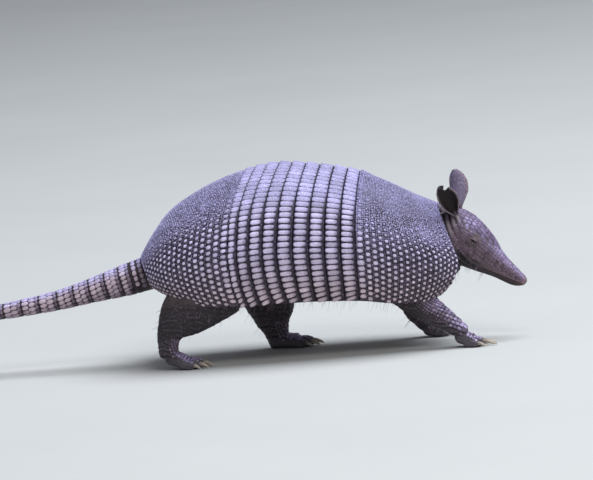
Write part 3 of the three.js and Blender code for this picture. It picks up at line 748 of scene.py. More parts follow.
def addShieldGrains(key, scutes):
    # small granules fill the ground between the scutes
    part, spacing = shields[key], shields["grain"]
    reachU = np.linalg.norm(scutes[:, 5] - scutes[:, 0], axis=1) / 2
    tree = KDTree(len(scutes))
    for i, centre in enumerate(scutes.mean(axis=1)):
        tree.insert(centre, i)
    tree.balance()
    _, length = flankStations([1], part["from"], part["to"])
    edges, _ = flankStations(np.ones(int(length / spacing)), part["from"], part["to"])
    rows = Rows(grainMould, *sorted((part["from"], part["to"])))
    for row, station, half, hoop in hoopsOf(edges):
        arcs = np.arange(-hoop.rim + 1.0 + (row % 2) * spacing / 2, hoop.rim - 1.0, spacing)
        arcs = arcs + dice.normal(0, 0.2, len(arcs))
        sides = hoop.side(arcs)
        spots = []
        for arc, at, back in zip(arcs, offShell(station, sides, plates["ground"]), dorsalOf(sides)):
            _, i, away = tree.find(at)
            near = np.linalg.norm(scutes[i] - at, axis=1).min()
            if away < reachU[i] * 0.8 or near < shields["clear"] * mm:
                continue
            size = (0.5 + 0.12 * (1 - back)) * vary(0.14)
            spots.append((station + dice.normal(0, 0.15) * half, arc, half * 2 * size, spacing * size,
                          0.95 * vary(0.25), 2.0, 0.0))
        if spots:
            rows.add(hoop, spots, part["lift"])
    laid, sides = rows.join()
    tones = mixedTones(0.45, part["uneven"], len(laid))
    back = dorsalOf(sides, part["wider"])
    crown = np.where(grainMould[0][:, 2] > 0.7, 0.74, 0.06) * (0.3 + 0.8 * back)[:, None]
    scutePiece(f"{key}Grains", grainMould, laid, tones, back, paintedSkyLightOf(sides), rows.places, crown=crown)


addBandScutes()
for key in ("pelvic", "scapular"):
    addShieldGrains(key, addShieldScutes(key))
print("scutes laid")


# flesh: smooth forms that overlap, to be fused into one skin
def loft(name, rings):
    # rings of equal count along a form, closed at both ends by a point
    count, sides = rings.shape[:2]
    points = np.vstack([rings.reshape(-1, 3), rings[0].mean(0), rings[-1].mean(0)])
    i = (np.arange(count - 1) * sides)[:, None]
    j = np.arange(sides)
    k = (j + 1) % sides
    quads = np.stack([i + j, i + k, i + sides + k, i + sides + j], -1).reshape(-1, 4)
    last = (count - 1) * sides
    start = [(k[n], j[n], count * sides) for n in range(sides)]
    end = [(last + j[n], last + k[n], count * sides + 1) for n in range(sides)]
    made = meshObject(name, points * mm, list(quads) + start + end)
    choose(made)
    turnOutwards()
    return made


def ovalShape(angle, power):
    # how far sideways and upwards a squared oval reaches at an angle from its top
    wide = np.sign(np.sin(angle)) * np.abs(np.sin(angle)) ** (2 / power)
    return wide, np.sign(np.cos(angle)) * np.abs(np.cos(angle)) ** (2 / power)


def ovalRing(centre, across, upward, half, top, bottom, sides, power=2):
    angle = 2 * math.pi * np.arange(sides) / sides
    wide, high = ovalShape(angle, power)
    height = np.where(np.cos(angle) > 0, top, bottom)
    return centre + across * (half * wide)[:, None] + upward * (height * high)[:, None]


def limb(name, stations, sides=36, steps=30, roundStart=0.5, roundEnd=0.5):
    # stations: x, y, z, half width, half depth
    stations = np.array(stations, float)
    shares = np.linspace(0, 1, steps + 1)
    line = curvePoint(stations, shares)
    ahead = unit(curvePoint(stations, shares + 1e-3)[:, :3] - curvePoint(stations, shares - 1e-3)[:, :3])
    rings = []

    def addRing(i, scale, out):
        along = ahead[i]
        across = unit(np.array([0, 1, 0]) - along * along[1])
        wide, deep = line[i, 3] * scale, line[i, 4] * scale
        centre, upward = line[i, :3] + along * out, np.cross(along, across)
        rings.append(ovalRing(centre, across, upward, wide, deep, deep, sides))

    for turn in (80, 60, 40, 20):
        angle = math.radians(turn)
        addRing(0, math.cos(angle), -line[0, 3] * roundStart * math.sin(angle))
    for i in range(steps + 1):
        addRing(i, 1, 0)
    for turn in (20, 40, 60, 80):
        angle = math.radians(turn)
        addRing(steps, math.cos(angle), line[-1, 3] * roundEnd * math.sin(angle))
    return loft(name, np.array(rings))


headFrame = {"place": (295.8, 0, 108), "pitch": 38, "turn": -5, "square": 2.25}
headMatrix = (Matrix.Rotation(math.radians(headFrame["turn"]), 3, "Z")
              @ Matrix.Rotation(math.radians(headFrame["pitch"]), 3, "Y"))
headTurn = np.array(headMatrix)
headStations = [  # along, top, bottom, half width
    (-19, 24, -25, 19), (-12, 26.5, -26.5, 21.5), (0, 27.3, -26, 22.5), (13, 25, -24, 21),
    (24, 22, -21.8, 18), (34, 18.3, -19.3, 15), (44, 13.8, -16.4, 12.4), (54, 10.3, -13.9, 10.6),
    (64, 8.1, -12.4, 9.2), (72, 6.3, -11, 8), (78, 5, -8.4, 7.4), (81.5, 3.8, -5.6, 6.3),
    (83.4, 2.3, -3.4, 3.8)]


def toHead(points):
    # from the row's frame in mm to the head's own: along the snout, left, and up to the crown
    return (points - np.array(headFrame["place"])) @ headTurn


def fromHead(points):
    return points @ headTurn.T + np.array(headFrame["place"])


def headSize(along):
    table = np.array(headStations)
    return [np.interp(along, table[:, 0], table[:, i]) for i in (1, 2, 3)]


def headForm():
    rings, (ahead, across, upward) = [], np.eye(3)
    for along, top, bottom, half in curvePoint(headStations, np.linspace(0, 1, 60)):
        rings.append(ovalRing(along * ahead, across, upward, half, top, -bottom, 56, headFrame["square"]))
    tip = rings[-1]
    rings.append(tip.mean(0) + (tip - tip.mean(0)) * 0.6 + np.array([0.5, 0, 0]))
    return loft("headForm", fromHead(np.array(rings)))


eyes = {"along": 15, "up": 9, "radius": 3.9, "sunk": 2.0, "lid": 4.2, "slant": -4, "slit": 3.8, "open": 1.0,
        "mound": (2.0, 6.4), "oval": 1.35, "firstRing": 1.55, "ringStep": 1.25, "ringHeight": 0.2}


def eyeCentre(side):
    return np.array([eyes["along"], side * (headSize(eyes["along"])[2] - eyes["sunk"]), eyes["up"]])


ears = {"length": 41, "half": 11.5, "baseHalf": 8.2, "thick": 1.9, "cupBase": 125, "cupTip": 52,
        "open": 1.25, "notchAt": (0.89, 0.8), "notch": (1.9, 4.3), "notchLean": 25,
        "right": ((-18, -15, 21), 20, 34, 62, -1), "left": ((-19.6, 15, 23.5), 4, 19, 68, 1)}


def earMatrix(key):
    base, back, out, face, side = ears[key]
    turns = ((-headFrame["pitch"] - back, "Y"), (-side * out, "X"), (side * face, "Z"))
    first, second, third = (Matrix.Rotation(math.radians(degrees), 3, axis) for degrees, axis in turns)
    return np.array(first @ second @ third), np.array(base, float)


def toEar(headPoints, key):
    turn, base = earMatrix(key)
    return (headPoints - base) @ turn


def earShape(share):
    # the radius of an ear's cup at a share of its length, and the half angle that it curls through
    swell = np.sin(math.pi * np.minimum(1, share * 0.86 + 0.14) ** 1.25)
    width = ears["baseHalf"] + (ears["half"] - ears["baseHalf"]) * np.minimum(1, share * 2.4)
    cup = np.radians(ears["cupBase"] + (ears["cupTip"] - ears["cupBase"]) * share**0.7)
    return width * np.sqrt(np.maximum(0.07, swell)) * ears["open"] / cup, cup


def earForm(key):
    turn, base = earMatrix(key)
    rings = []
    for share in np.linspace(-0.06, 1, 34):
        radius, cup = earShape(max(share, 0.0))
        wall = ears["thick"] / 2 * (0.55 + 0.45 * math.sqrt(max(0.0, 1 - max(share, 0) ** 6)))
        across = np.linspace(-1, 1, 25)
        ring = []
        for v, off in [(v, wall) for v in across] + [(v, -wall) for v in across[::-1]]:
            reach = radius + off
            ring.append((radius - reach * math.cos(v * cup), reach * math.sin(v * cup),
                         share * ears["length"]))
        rings.append(ring)
    ear = loft(f"earForm_{key}", fromHead(np.array(rings) @ turn.T + base))
    if key == "right":
        # a notch parts the near ear's edge into a small rear lobe and a larger front one
        share, v = ears["notchAt"]
        radius, cup = earShape(share)
        edge = np.array([radius - radius * math.cos(v * cup), radius * math.sin(v * cup),
                         share * ears["length"]])
        bpy.ops.mesh.primitive_cylinder_add(vertices=32, radius=1, depth=16 * mm,
                                            location=fromHead(edge @ turn.T + base) * mm,
                                            rotation=(math.radians(90), math.radians(ears["notchLean"]), 0))
        wedge = bpy.context.object
        wedge.scale = (ears["notch"][0] * mm, ears["notch"][1] * mm, 1)
        bpy.ops.object.transform_apply(location=False, rotation=False, scale=True)
        applyModifier(ear, "BOOLEAN", operation="DIFFERENCE", object=wedge)
        bpy.data.objects.remove(wedge)
    return ear


def underShell(station, sides, inset):
    # an arch of the skin under the shell
    return offShell(station, sides, -(plates["skinUnder"] + inset)) / mm


def trunkForm():
    rings = []
    for station, inset in [(0.22, 10)] + [(s, 0) for s in np.linspace(0.3, 9.14, 46)] + [(9.29, 7)]:
        arch = underShell(station, np.linspace(-1, 1, 61), inset)
        if 1.3 < station < 8.2:
            arch[:, 2] = np.minimum(arch[:, 2], 86)
        low = curvePoint(shell["belly"], np.array([station / 10]))[0, 2] + inset
        share = np.linspace(0, 1, 26)[1:-1, None]
        under = arch[-1] + (arch[0] - arch[-1]) * share
        under[:, 2] += (low - under[:, 2]) * np.sin(share[:, 0] * math.pi) ** 0.6
        rings.append(np.vstack([arch, under]))
    return loft("trunkForm", np.array(rings))


legs = {  # x, y, z, half width, half depth
    "hindRight": [(38, -42, 84, 20, 38), (22, -47, 71, 18, 33), (1, -50, 53, 15, 24),
                  (-10, -51, 40, 11.5, 14.5), (-13.5, -51, 29, 9.5, 11), (-14, -51, 15, 8.6, 10)],
    "hindLeft": [(76, 40, 84, 20, 34), (86, 46, 60, 18, 29), (89, 49, 43, 15, 25), (90, 50, 30, 12, 19),
                 (92, 50, 20, 9.8, 14), (94, 50, 8, 8.6, 11)],
    "foreRight": [(232, -36, 68, 15, 21), (248, -42, 51.5, 14, 17), (261, -45, 40.5, 12, 14.2),
                  (271.5, -47, 33, 10.5, 12), (281, -48, 25.5, 9.4, 10), (293, -48.5, 15, 8.6, 8)],
    "foreLeft": [(240, 36, 68, 15, 19), (240, 42, 51, 13, 16), (238, 45, 38, 11.4, 12.5),
                 (240, 46, 28, 10, 10.5), (246, 46.5, 19.5, 9, 9), (254, 47, 10, 8.4, 8)],
}
# toes: place across the foot, length, radius and length of the claw
hindToes = [(-10.5, 9, 4.2, 8), (-5.6, 14, 4.8, 10.5), (0, 16.5, 5, 12), (5.6, 14, 4.8, 10.5),
            (10.5, 9, 4.2, 8)]
foreToes = [(-8.4, 8, 4, 9.5), (-3, 12, 4.6, 16), (3, 11.5, 4.6, 15), (8.4, 7.5, 4, 8.5)]
feet = {  # toes, heading, heel, heel half width and depth, ball, and the nodes of its claws
    "hindRight": (hindToes, -3, (-12, -51, 13), 9.4, 8, (4, -51, 6.2), "hind_claw_right"),
    "hindLeft": (hindToes, 3, (89, 50, 7.6), 9.6, 8, (114, 50, 6.4), "hind_claw_left"),
    "foreRight": (foreToes, -6, (290, -48.5, 11.5), 9, 7.6, (301, -49, 6.6), "foreclaw_right"),
    "foreLeft": (foreToes, 5, (253, 47, 9), 9, 7.6, (263, 47.5, 6.6), "foreclaw_left"),
}
pressed = 0.9  # how far the toes and soles are pressed into the floor, where they are cut flat


def onToe(key, toe, reach, height):
    ball, heading = feet[key][5], math.radians(feet[key][1])
    fan = math.radians(feet[key][1] + toe[0] * 1.6)
    return (ball[0] - math.sin(heading) * toe[0] + math.cos(fan) * reach,
            ball[1] + math.cos(heading) * toe[0] + math.sin(fan) * reach, height)


def footForms(key):
    toes, _, heel, wide, deep, ball, _ = feet[key]
    span = abs(toes[0][0]) + toes[0][2]
    middle = tuple((a + b) / 2 for a, b in zip(heel, ball))
    made = [limb(f"sole_{key}", [
        (*heel, wide, deep), (*middle, (wide + span) / 2, deep * 0.96),
        (*ball, span * 0.95, ball[2] + pressed)], steps=12, roundStart=0.6, roundEnd=0.3)]
    for i, toe in enumerate(toes):
        _, reach, r, _ = toe
        # each toe swells at its middle joint and narrows into the claw's root
        made.append(limb(f"toe_{key}_{i}", [
            (*onToe(key, toe, -5, r * 1.1), r, r),
            (*onToe(key, toe, reach * 0.25, r), r * 0.86, r + pressed * 0.5),
            (*onToe(key, toe, reach * 0.62, r), r * 0.98, r + pressed),
            (*onToe(key, toe, reach, r * 0.9), r * 0.74, r * 0.74)], 20, 12, 0.3, 0.35))
    return made


tail = {
    "line": [(-22, 0, 98.5, 18.8), (-30, 0, 97, 18.6), (-50, 0, 92.5, 17.6), (-70, 0, 88, 15.6),
             (-94, 1, 82.7, 13.2), (-128, 3, 75.2, 10.8), (-170, 5, 69.4, 9.3), (-210, 8, 64.5, 7.9),
             (-250, 12, 55, 6.5), (-290, 17, 40, 5.1), (-328, 22, 22, 3.6), (-362.3, 27, 7, 1.1)],
    "rings": [-49, -60.4, -76, -93.5, -110.5, -129, -149, -168, -187.5, -206, -223, -239],
    "sunk": 0.9, "ridge": (0.55, 2.2), "groove": (0.7, 0.8),  # each one's height and width
}


class TailLine:
    # the tail's centre line, measured along its length from the root
    def __init__(self):
        shares = np.linspace(0, 1, 600)
        line = curvePoint(tail["line"], shares)
        self.points, self.radii = line[:, :3], line[:, 3]
        self.arcs = lengths(self.points)
        self.ahead = unit(np.gradient(self.points, axis=0))

    def radius(self, arc):
        return np.interp(arc, self.arcs, self.radii)

    def arcAtX(self, x):
        return np.interp(-np.asarray(x, float), -self.points[:, 0], self.arcs)

    def at(self, arc, turn, lift):
        # turn is the angle from the top, towards the right side
        centre = np.stack([np.interp(arc, self.arcs, self.points[:, i]) for i in range(3)], -1)
        along = unit(np.stack([np.interp(arc, self.arcs, self.ahead[:, i]) for i in range(3)], -1))
        across = unit(np.array([0, -1.0, 0]) + along * along[..., 1:2])
        upward = unit(np.cross(across, along)) * np.sign(np.cross(across, along)[..., 2:3])
        reach = (self.radius(arc) + lift)[..., None]
        return (centre + (across * np.sin(turn)[..., None] + upward * np.cos(turn)[..., None]) * reach) * mm


tailLine = TailLine()


def tailForm():
    # rings stand proud at their rear edges, with a groove between each and the next
    arcs = np.linspace(0, tailLine.arcs[-1], 330)
    lift = np.full(len(arcs), -tail["sunk"])
    (ridge, ridgeWide), (groove, grooveWide) = tail["ridge"], tail["groove"]
    for edge in tailLine.arcAtX(tail["rings"]):
        lift = lift + ridge * bell((arcs - edge + 2.2, ridgeWide)) - groove * bell((arcs - edge, grooveWide))
    lift = np.maximum(lift, -0.45 * tailLine.radius(arcs))
    turns = np.linspace(0, 2 * math.pi, 40, endpoint=False)
    return loft("tailForm", tailLine.at(arcs[:, None] + turns * 0, turns + arcs[:, None] * 0,
                                        lift[:, None] + turns * 0) / mm)


fleshNodes = ["trunk", "neck", "head", "ear_right", "ear_left", "hind_leg_right", "hind_leg_left",
              "foreleg_right", "foreleg_left", "hind_foot_right", "hind_foot_left", "forefoot_right",
              "forefoot_left", "tail_base", "tail_middle", "tail_tip"]


def addSphere(place, radius, segments=24, rings=16):
    bpy.ops.mesh.primitive_uv_sphere_add(segments=segments, ring_count=rings, radius=radius * mm,
                                         location=place * mm)
    return bpy.context.object


def napeForm():
    # the nape fills the space under the shell's front edge
    rings = []
    for station, inset in ((8.8, 6), (9.0, 0), (9.3, 0), (9.6, 0), (9.72, 1.8)):
        arch = underShell(station, np.linspace(-0.6, 0.6, 41), inset)
        share = np.linspace(0, 1, 18)[1:-1, None]
        rings.append(np.vstack([arch, arch[-1] + (arch[0] - arch[-1]) * share]))
    return loft("napeForm", np.array(rings))


def earRoot(key):
    # the gristle behind the foot of an ear
    base, side = ears[key][0], ears[key][4]
    root = addSphere(fromHead(np.array(base) + np.array([-7.8, -side * 1.5, -3.0])), 7.6)
    root.scale = (1.2, 0.95, 0.95)
    return root


def fuseSkin():
    forms = [trunkForm(), headForm(), earForm("right"), earForm("left"), tailForm()]
    forms += [addSphere(fromHead(eyeCentre(side)), eyes["lid"]) for side in (-1, 1)]
    forms += [earRoot("right"), earRoot("left"), napeForm()]
    forms.append(limb("neckForm", [(256, 0, 97, 42, 44), (272, 0, 101, 36, 36), (286, 0, 106.5, 27, 31),
                                   (299, 0, 107, 21.5, 28)], 56))
    for key, stations in legs.items():
        forms.append(limb(f"legForm_{key}", stations, 44, 36, 0.5, 0.35))
        forms += footForms(key)
    for form in forms:
        points = corners(form)
        points[:, 2] = np.maximum(points[:, 2], 0.0)
        setCorners(form, points)
    choose(*forms)
    bpy.ops.object.transform_apply(location=True, rotation=True, scale=True)
    bpy.ops.object.join()
    skin = named("skin")
    applyModifier(skin, "REMESH", mode="VOXEL", voxel_size=1.0 * mm)
    print("skin fused", len(skin.data.polygons))
    applyModifier(skin, "SMOOTH", factor=0.5, iterations=3)
    return skin


skin = fuseSkin()


# the skin's folds, lids and creases
def earPlace(headPoints, key):
    # share of the ear's length, place across it from -1 to 1, and distance off its middle surface
    local = toEar(headPoints, key)
    share = local[:, 2] / ears["length"]
    radius, cup = earShape(np.clip(share, 0, 1))
    angle = np.arctan2(local[:, 1], radius - local[:, 0])
    off = np.hypot(radius - local[:, 0], local[:, 1]) - radius
    on = (share > -0.02) & (share < 1.08) & (np.abs(angle) < cup + 0.4) & (np.abs(off) < 2.4)
    return share, angle / cup, off, on


thinning = {"head": 0.0, "feet": 0.25, "legs": 0.6, "hidden": 1.0, "ratio": 0.33, "factor": 6.0}


def thinSkin(skin):
    # few faces where the shell hides it and more on the legs, feet, ears and head
    points = corners(skin) / mm
    near = (toHead(points)[:, 0] > -30) & (points[:, 0] > 268)
    foot = (points[:, 2] < 24)
    hidden = (points[:, 2] > 70) & (points[:, 0] > -8) & (points[:, 0] < 258)
    weights = np.where(hidden, thinning["hidden"], thinning["legs"])
    weights = np.where(near, thinning["head"], np.where(foot, thinning["feet"], weights))
    group = skin.vertex_groups.new(name="plain")
    for weight in np.unique(weights):
        if weight > 0:
            group.add(np.flatnonzero(weights == weight).tolist(), float(weight), "REPLACE")
    applyModifier(skin, "DECIMATE", ratio=thinning["ratio"], vertex_group="plain",
                  vertex_group_factor=thinning["factor"])
    print("skin thinned", triangles(skin))
    skin.vertex_groups.clear()


def divideFaces(skin, chosen):
    # splits every face whose corners are all chosen
    form = bmesh.new()
    form.from_mesh(skin.data)
    form.verts.ensure_lookup_table()
    edges = [e for e in form.edges if chosen[e.verts[0].index] and chosen[e.verts[1].index]]
    bmesh.ops.subdivide_edges(form, edges=edges, cuts=1, use_grid_fill=True, smooth=0)
    bmesh.ops.triangulate(form, faces=[f for f in form.faces if len(f.verts) > 4])
    form.to_mesh(skin.data)
    form.free()
    skin.data.update()


def eyeSplit(local, side):
    # an eye's own place: along its slit, across it and outwards
    offset = local - eyeCentre(side)
    slant = math.radians(eyes["slant"])
    along = offset[:, 0] * math.cos(slant) - offset[:, 2] * math.sin(slant)
    across = offset[:, 0] * math.sin(slant) + offset[:, 2] * math.cos(slant)
    return along, across, offset[:, 1] * side


def slitDepth(along, across):
    # below 1 inside the opening between the lids
    half = eyes["open"] * np.clip(1 - (np.abs(along) / eyes["slit"]) ** 2, 0.0, 1) ** 0.6
    return np.abs(across) / np.maximum(half, 1e-3)


def lidRings(along, across):
    # an oval reach round an eye, and the wave of the fine rings there
    oval = np.hypot(along / eyes["oval"], across)
    return oval, np.cos(2 * math.pi * (oval - eyes["firstRing"]) / eyes["ringStep"])


def aroundEyes(local, reach):
    found = np.zeros(len(local), bool)
    for side in (-1, 1):
        along, across, out = eyeSplit(local, side)
        found |= (np.hypot(along, across) < reach) & (out > -1)
    return found


# slack folds run forward down the cheek from behind the eye: where each starts and ends, and its height
cheekFolds = ((10, -1.5, 34, -6.5, 0.5), (6, -6, 30, -12, 0.45), (-2, -9, 22, -17, 0.4))


def foldLines(along):
    for startA, startU, endA, endU, height in cheekFolds:
        t = np.clip((along - startA) / (endA - startA), 0, 1)
        line = startU + (endU - startU) * t - 1.6 * np.sin(t * math.pi)
        yield line, smooth(startA - 2, startA + 5, along) * smooth(endA + 2, endA - 5, along), height


def mouthLine(along):
    return np.interp(along, [30, 40, 49, 59, 68, 76, 82], [-12, -11, -9.3, -7.2, -5.7, -4.2, -3.2])


snout = {"mouth": 0.95, "jawIn": 0.7, "lip": 0.3, "nostril": 2.5, "pit": 1.9, "wingAt": 3.6, "wing": 0.35}
neck = {"first": 288.5, "step": 5.8, "height": 1.5, "behind": (268, 276), "below": (150, 140),
        "above": (70, 84), "besides": (5, 13)}


def shapeHead(skin):
    points = corners(skin) / mm
    local = toHead(points)
    top, _, half = headSize(local[:, 0])
    face = (local[:, 0] > -24) & (points[:, 0] > 270) & ((np.abs(points[:, 1]) < 26) | (points[:, 2] > 74))
    onEar = np.zeros(len(local), bool)
    for key in ("right", "left"):
        share, _, _, on = earPlace(local, key)
        face &= ~(on & (share > 0.1))
        onEar |= on
    moved = local.copy()
    normals = cornerNormals(skin) @ headTurn
    a, y, u = local.T
    # cheek and snout: a mouth line, a lower jaw that is a little narrower, nostrils
    mouth = mouthLine(a)
    inMouth = smooth(34, 42, a) * (a < 83) * face
    moved -= normals * (snout["mouth"] * (bell((u - mouth, 0.55)) * inMouth))[:, None]
    jaw = smooth(0.3, 1.6, mouth - u) * inMouth * (normals[:, 2] > -0.95)
    moved[:, 1] -= np.sign(y) * snout["jawIn"] * jaw
    moved += normals * (snout["lip"] * (bell((u - mouth - 1.0, 0.8)) * inMouth))[:, None]
    for side in (-1, 1):
        pit = bell((y - side * snout["nostril"], 0.95), (u - 0.4, 0.75)) * smooth(80, 82, a)
        moved[:, 0] -= snout["pit"] * pit
        wing = bell((y - side * snout["wingAt"], 1.2), (u - 0.6, 1.3)) * smooth(79, 81.5, a)
        moved += normals * (snout["wing"] * wing * (1 - pit))[:, None]
    for line, ends, height in foldLines(a):
        fold = bell((u - line, 0.8)) - 0.7 * bell((u - line + 2.0, 1.0))
        moved += normals * (height * (ends * face) * fold)[:, None]
    # lids: a low mound round each eyeball, fine rings on it, and a slit that shows the ball
    moundHeight, moundWide = eyes["mound"]
    soft = 0.5
    for side in (-1, 1):
        along, across, out = eyeSplit(local, side)
        reach = np.hypot(along, across)
        near = (reach < 11) & (out > -1.5) & face
        square = headFrame["square"]
        surface = half * np.clip(1 - (np.abs(u) / top) ** square, 0.05, 1) ** (1 / square)
        skinAt = surface - eyeCentre(side)[1] * side
        dome = np.sqrt(np.clip(eyes["lid"] ** 2 - reach**2, 0, None))
        mound = skinAt + moundHeight * bell((reach, moundWide))
        target = np.logaddexp(dome / soft, mound / soft) * soft - 0.1
        oval, wave = lidRings(along, across)
        target = target + eyes["ringHeight"] * wave * smooth(1.2, 1.6, oval) * smooth(6.6, 4.8, oval)
        ball = np.sqrt(np.clip(eyes["radius"] ** 2 - reach**2, 0, None)) - 0.9
        opened = smooth(1.3, 0.7, slitDepth(along, across))
        opened = opened * smooth(eyes["slit"] + 0.3, eyes["slit"] - 0.5, np.abs(along))
        target = target * (1 - opened) + ball * opened
        share = smooth(10.5, 7.0, reach) * near
        goal = eyeCentre(side)[1] * side + target
        moved[:, 1] = np.where(near, side * (moved[:, 1] * side * (1 - share) + goal * share), moved[:, 1])
    points = np.where(face[:, None], fromHead(moved), points)
    # folds of the neck, from behind the ears down behind the cheeks
    x, yy, z = points.T
    fold = x + 0.30 * (z - 125) + 0.12 * np.abs(yy)
    ridge = np.abs(np.cos(math.pi * (fold - neck["first"]) / neck["step"])) ** 0.8 - 0.55
    onNeck = smooth(*neck["behind"], x) * smooth(2, -8, a) * smooth(*neck["besides"], np.abs(yy))
    onNeck = onNeck * smooth(*neck["above"], z)
    onNeck = np.where(onEar, 0, onNeck * smooth(*neck["below"], z))
    points = points + (normals @ headTurn.T) * (neck["height"] * ridge * onNeck)[:, None]
    setCorners(skin, points * mm)
    return ridge * onNeck


creases = {"height": 0.5, "coarse": 4.6, "fine": 2.9, "fineShare": 0.7, "slant": 0.32,
           "toeShares": (0.16, 0.36, 0.58, 0.80), "toeHeight": 0.4, "toeWide": 0.55}


def legWave(points):
    # slanted, uneven creases of the legs: their height from -1 to 1, and how much each place has of them
    x, y, z = points.T
    onLeg = smooth(78, 66, z) * ((x < 130) | (x > 225)) * (np.abs(y) > 24)
    slanted = z + creases["slant"] * (x - 20) + 1.6 * np.sin(x * 0.23 + 0.11 * z) + 1.3 * np.sin(y * 0.31)
    fine = np.sin(slanted * 2 * math.pi / creases["fine"] + y * 0.4 + x * 0.2)
    wave = np.sin(slanted * 2 * math.pi / creases["coarse"]) + creases["fineShare"] * fine
    ankle = smooth(40, 30, z) * smooth(8, 13, z)
    return wave / (1 + creases["fineShare"]), onLeg * (0.7 + 0.3 * ankle)


def shapeLimbs(skin):
    # creases that cross the ankles, wrists and toes
    points = corners(skin) / mm
    normals = cornerNormals(skin)
    z = points[:, 2]
    wave, share = legWave(points)
    moved = points + normals * (creases["height"] * wave * share)[:, None]
    for key, (toes, *_) in feet.items():
        for toe in toes:
            root, tip = np.array(onToe(key, toe, 0, 0)), np.array(onToe(key, toe, toe[1], 0))
            ahead = unit(tip - root)
            along = (points - root) @ ahead
            across = np.hypot(*(points - root - along[:, None] * ahead)[:, :2].T)
            on = smooth(toe[2] + 0.6, toe[2] - 1.2, across) * (z > 2) * (z < 2 * toe[2] + 4)
            for share in creases["toeShares"]:
                crease = bell((along - share * toe[1], creases["toeWide"]))
                moved -= normals * (creases["toeHeight"] * crease * on)[:, None]
    moved[:, 2] = np.maximum(moved[:, 2], 0)
    setCorners(skin, moved * mm)


thinSkin(skin)
headLocal = toHead(corners(skin) / mm)
besideMouth = (headLocal[:, 0] > 28) & (np.abs(headLocal[:, 2] - mouthLine(headLocal[:, 0])) < 3.4)
divideFaces(skin, besideMouth | aroundEyes(headLocal, 10) | (headLocal[:, 0] > 72))
divideFaces(skin, aroundEyes(toHead(corners(skin) / mm), 6.5))
neckRidge = shapeHead(skin)
shapeLimbs(skin)
print("skin shaped", triangles(skin))


skinFaces = [tuple(p.vertices) for p in skin.data.polygons]
skinTree = BVHTree.FromPolygons([tuple(p) for p in corners(skin)], skinFaces)


